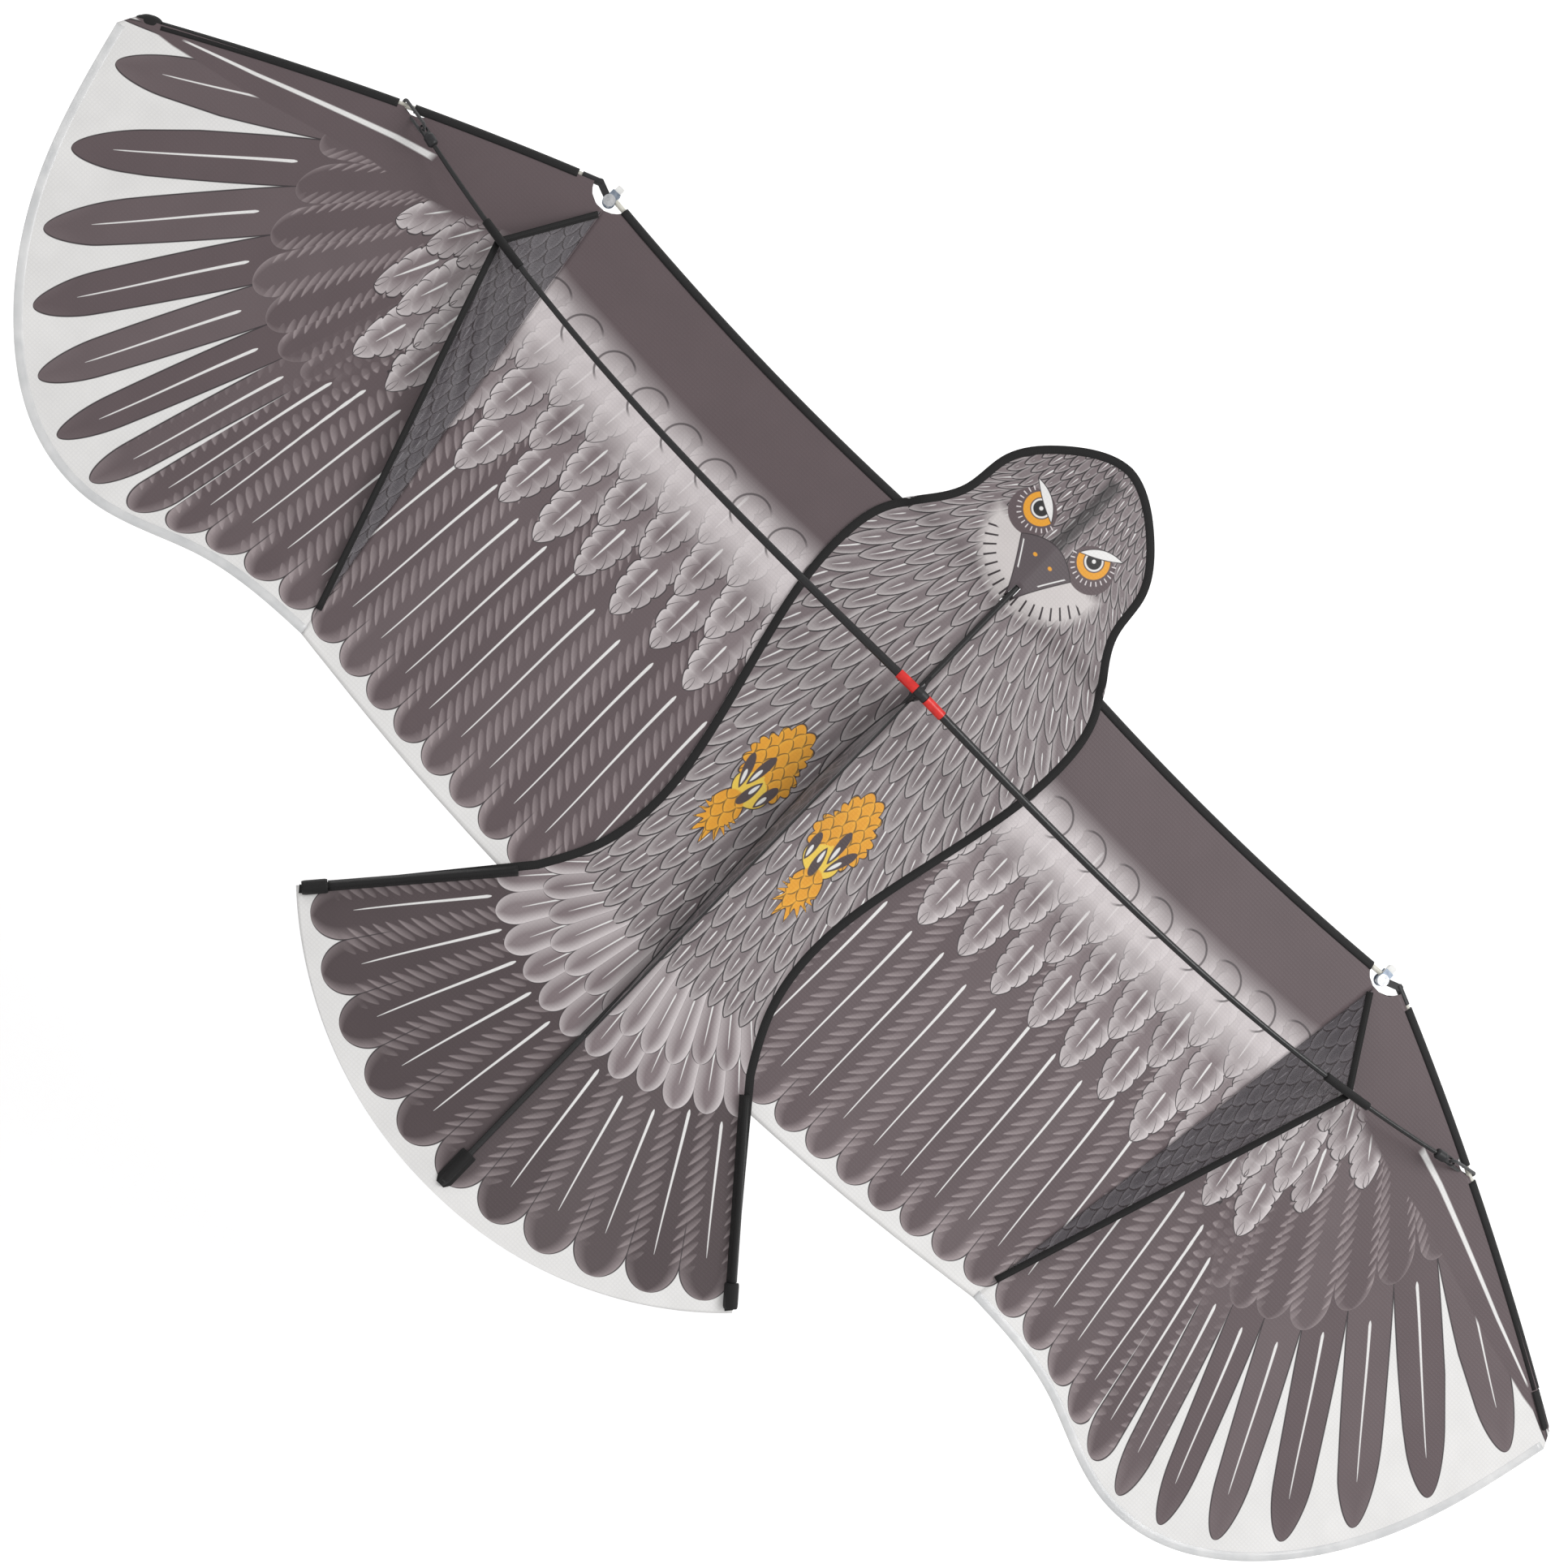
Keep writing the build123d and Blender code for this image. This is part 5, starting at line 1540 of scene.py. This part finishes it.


# %% [markdown]
# The body print, from the back to the front: the off-white ground at the tail's end, the fan of long tail
# feathers, two rows of rounded covering feathers, the body scales, the feet and the face. A darker stripe
# of painted shadow runs from the beak to the crown, where the rod and its pocket lie against the cloth.

# %% Body print
def body_print():
    """Material of the body cloth."""
    material, tree, shader = new_material("sail_cloth", 0.5, sheen=0.25)
    number, radius, spacing = read_field(tree, "tail_fan")
    column, row, width = read_field(tree, "scale_rows")
    flat = tree.nodes.new("ShaderNodeUVMap")
    flat.uv_map = "flat_mm"
    parts = tree.nodes.new("ShaderNodeSeparateXYZ")
    tree.links.new(flat.outputs[0], parts.inputs[0])
    across = Amount(tree, parts.outputs[0]).size()
    ahead = Amount(tree, parts.outputs[1])
    common = dict(Middle_Colour=dark_brown, Rim_Colour=pale_grey, Line_Colour=line_brown, Quill_Colour=quill_white)
    colour = lay_row(
        tree,
        ground_white,
        number,
        radius * -1.0 + 275.0,
        spacing,
        Widest=44.0,
        Tip_Length=22.0,
        Outline=0.9,
        Line_Length=50.0,
        Rim_Width=9.0,
        Rim_Length=32.0,
        Rim_Strength=0.7,
        Quill_Start=24.0,
        Quill_End=118.0,
        Quill_Width=1.05,
        Barb_Strength=0.7,
        Barb_Start=20.0,
        **(common | {"Rim_Colour": barb_grey, "Middle_Colour": deep_brown}),
    )
    for order, reach in enumerate((158.0, 131.0)):
        colour = lay_row(
            tree,
            colour,
            number + 0.5 * order + 0.5,
            radius * -1.0 + reach,
            spacing,
            Seed=float(order) + 2.0,
            Scatter=6.0,
            Widest=30.0,
            Tip_Length=16.0,
            Outline=0.6,
            Line_Length=60.0,
            Rim_Width=7.5,
            Rim_Strength=1.0,
            Quill_Start=12.0,
            Quill_End=50.0,
            Quill_Width=0.7,
            **(common | {"Middle_Colour": mid_grey}),
        )
    scales = place_group(
        tree,
        body_scales,
        Column=column,
        Row=row,
        Width=width,
        Length=scale_length,
        Flare=0.0052,
        Last_Row=last_scale_row,
        Middle_Colour=tint(0.465, 0.420, 0.430),
        Rim_Colour=tint(0.800, 0.775, 0.775),
        Line_Colour=tint(0.140, 0.110, 0.125),
        Quill_Colour=quill_white,
    )
    colour = blend_colour(tree, scales.outputs["Mask"], colour, scales.outputs["Colour"])
    colour = paint_feet(tree, colour, across, ahead)
    # Painted shadow: the spine rod and its head pocket, which lie against the cloth, darken a stripe from the beak to
    # the crown.
    rod_shadow_stripe = (across * -1.0 + 5.0).least(ahead - 132.0).least(ahead * -1.0 + 192.0)
    colour = blend_colour(tree, rod_shadow_stripe.edge(4.0) * 0.75, colour, near_black)
    colour = paint_face(tree, colour, across, ahead)
    finish_cloth(tree, shader, colour)
    return material


last_scale_row = float(np.round(scale_rows(np.zeros(1), np.array([-240.0]))[0, 1]))
body_cloth.data.materials.append(body_print())

# %% [markdown]
# Everything else has a plain finish: woven black tape, clear film, drawn rods, moulded plastic and plated steel.
# Each gets its own fine structure from noise and waves, so no surface is one flat colour.

# %% Plain finishes
def noise_at(tree, scale, detail=3.0, stretch=(1, 1, 1)):
    """Soft noise over the piece's own coordinates, stretched along some axes."""
    place = tree.nodes.new("ShaderNodeTexCoord")
    mapping = tree.nodes.new("ShaderNodeMapping")
    mapping.inputs["Scale"].default_value = stretch
    noise = tree.nodes.new("ShaderNodeTexNoise")
    noise.inputs["Scale"].default_value = scale
    noise.inputs["Detail"].default_value = detail
    tree.links.new(place.outputs["Object"], mapping.inputs[0])
    tree.links.new(mapping.outputs[0], noise.inputs["Vector"])
    return Amount(tree, noise.outputs["Fac"])


def add_bump(tree, shader, height, distance, strength=0.4):
    """Turns a height into the shader's normal."""
    bump = tree.nodes.new("ShaderNodeBump")
    bump.inputs["Strength"].default_value = strength
    bump.inputs["Distance"].default_value = distance
    tree.links.new(height.socket, bump.inputs["Height"])
    tree.links.new(bump.outputs[0], shader.inputs["Normal"])


def plain_finish(name, dark, light, scale, roughness, stretch=(1, 1, 1), bump=0.0001, spread=0.12, **more):
    """Two tones mixed by noise, roughness that varies with it, and a fine bump."""
    material, tree, shader = new_material(name, roughness, **more)
    noise = noise_at(tree, scale, 4.0, stretch)
    share = ((noise - 0.5) * 2.4 + 0.5).between()
    tree.links.new(blend_colour(tree, share, dark, light), shader.inputs["Base Color"])
    tree.links.new((noise * spread + (roughness - spread / 2)).socket, shader.inputs["Roughness"])
    add_bump(tree, shader, noise, bump)
    return material


def tape_finish(name, colour, spacing=0.9):
    """Woven tape: ribs across and along the strip, from its own flat map."""
    material, tree, shader = new_material(name, 0.62, sheen=0.05, specular=0.35)
    finish_cloth(tree, shader, colour, spacing=spacing, strength=0.6)
    return material


def cord_finish(name):
    """Braid: two sets of slanted ribs from the cord's flat map, crossing each other."""
    material, tree, shader = new_material(name, 0.6, sheen=0.3)
    flat = tree.nodes.new("ShaderNodeUVMap")
    flat.uv_map = "flat_mm"
    parts = tree.nodes.new("ShaderNodeSeparateXYZ")
    tree.links.new(flat.outputs[0], parts.inputs[0])
    around, run = Amount(tree, parts.outputs[0]), Amount(tree, parts.outputs[1])
    one = ((run + around) * 4.2).wave()
    two = ((run - around) * 4.2).wave()
    braid = one.most(two) * 0.5 + 0.5
    tree.links.new(blend_colour(tree, braid, tint(0.05, 0.05, 0.055), tint(0.2, 0.2, 0.21)), shader.inputs["Base Color"])
    add_bump(tree, shader, braid, 0.0004, 0.7)
    return material


def see_through(material, cover):
    """Makes a film or thin cloth partly see-through, by its alpha."""
    material.node_tree.nodes["Principled BSDF"].inputs["Alpha"].default_value = cover
    return material


finishes = {
    "black_tape": tape_finish("black_tape", tint(0.075, 0.07, 0.072)),
    "tip_cloth": tape_finish("tip_cloth", tint(0.085, 0.08, 0.082), 1.1),
    "clear_tape": see_through(
        plain_finish("clear_tape", tint(0.88, 0.885, 0.89), tint(0.97, 0.97, 0.97), 60, 0.25, coat=0.4), 0.62
    ),
    "black_rod": plain_finish("black_rod", tint(0.03, 0.03, 0.033), tint(0.10, 0.10, 0.105), 900, 0.34, coat=0.15),
    "white_rod": plain_finish("white_rod", tint(0.78, 0.77, 0.72), tint(0.88, 0.87, 0.83), 300, 0.35),
    "black_plastic": plain_finish("black_plastic", tint(0.07, 0.07, 0.075), tint(0.14, 0.14, 0.15), 400, 0.45),
    "red_band": plain_finish("red_band", tint(0.78, 0.06, 0.05), tint(0.93, 0.16, 0.12), 220, 0.38, coat=0.2),
    "clear_plastic": plain_finish("clear_plastic", tint(0.86, 0.86, 0.85), tint(0.94, 0.94, 0.93), 180, 0.3, coat=0.3),
    "blue_steel": plain_finish(
        "blue_steel", tint(0.46, 0.50, 0.56), tint(0.62, 0.66, 0.71), 260, 0.33, metallic=0.8
    ),
    "bright_steel": plain_finish(
        "bright_steel", tint(0.72, 0.73, 0.74), tint(0.86, 0.86, 0.87), 350, 0.24, metallic=1.0
    ),
    "dull_steel": plain_finish("dull_steel", tint(0.50, 0.50, 0.52), tint(0.62, 0.62, 0.64), 300, 0.4, metallic=1.0),
    "stretch_cord": cord_finish("stretch_cord"),
}

# %% [markdown]
# The keel and the fins are thin dark cloth, and the light ground shows through them. Their print is the same
# small feathers as the body's, only fainter. The keel's tones are darker than the fins': partly its doubled
# cloth, and partly painted shade.

# %% Thin see-through cloth
def thin_cloth(name, dark, light, cover):
    """Faint feather rows on thin cloth, partly see-through."""
    material, tree, shader = new_material(name, 0.45, sheen=0.2)
    flat = tree.nodes.new("ShaderNodeUVMap")
    flat.uv_map = "flat_mm"
    parts = tree.nodes.new("ShaderNodeSeparateXYZ")
    tree.links.new(flat.outputs[0], parts.inputs[0])
    along_cloth, up_cloth = Amount(tree, parts.outputs[0]), Amount(tree, parts.outputs[1])
    faint = place_group(
        tree,
        body_scales,
        Column=up_cloth / 9.0,
        Row=along_cloth / 10.8 + up_cloth * 0.06,
        Width=9.0,
        Length=1.2,
        Last_Row=1000.0,
        Middle_Colour=dark,
        Rim_Colour=light,
        Line_Colour=line_brown,
        Quill_Colour=light,
    )
    finish_cloth(tree, shader, faint.outputs["Colour"])
    shader.inputs["Alpha"].default_value = cover
    return material


# The keel's darker tones are partly its doubled cloth and partly painted shade.
finishes["keel_cloth"] = thin_cloth("keel_cloth", tint(0.16, 0.13, 0.14), tint(0.46, 0.41, 0.425), 0.97)
finishes["fin_cloth"] = thin_cloth("fin_cloth", tint(0.34, 0.32, 0.34), tint(0.50, 0.48, 0.50), 0.62)
slot_of = {row["node"]: row["material_slot"] for row in frame["record"]["subparts"]}
for node_name, node in frame["nodes"].items():
    if slot_of[node_name] in finishes:
        node.data.materials.clear()
        node.data.materials.append(finishes[slot_of[node_name]])
for piece in bpy.context.scene.objects:
    named = piece.get("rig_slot")
    if piece.type == "MESH" and named in finishes and not piece.data.materials:
        piece.data.materials.append(finishes[named])

# %% [markdown]
# Cloth that crosses a joint has to give way, as the outer wing cloth does when the tip folds back. Here all the
# wing cloth and films ride on the frame, the outer ones each with a mesh of its own, and the fins and their
# loops have their placement baked into their meshes.

# %% Where the cloth rides
for side_name, side in sides.items():
    for piece in (wing_cloths[f"outer_{side_name}"], wing_films[f"outer_{side_name}"]):
        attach(piece, "frame")
        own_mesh(piece)
    for piece in (wing_cloths[f"inner_{side_name}"], wing_films[f"inner_{side_name}"]):
        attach(piece, "frame")
    for piece in fin_pieces[side_name]:
        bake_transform(piece)
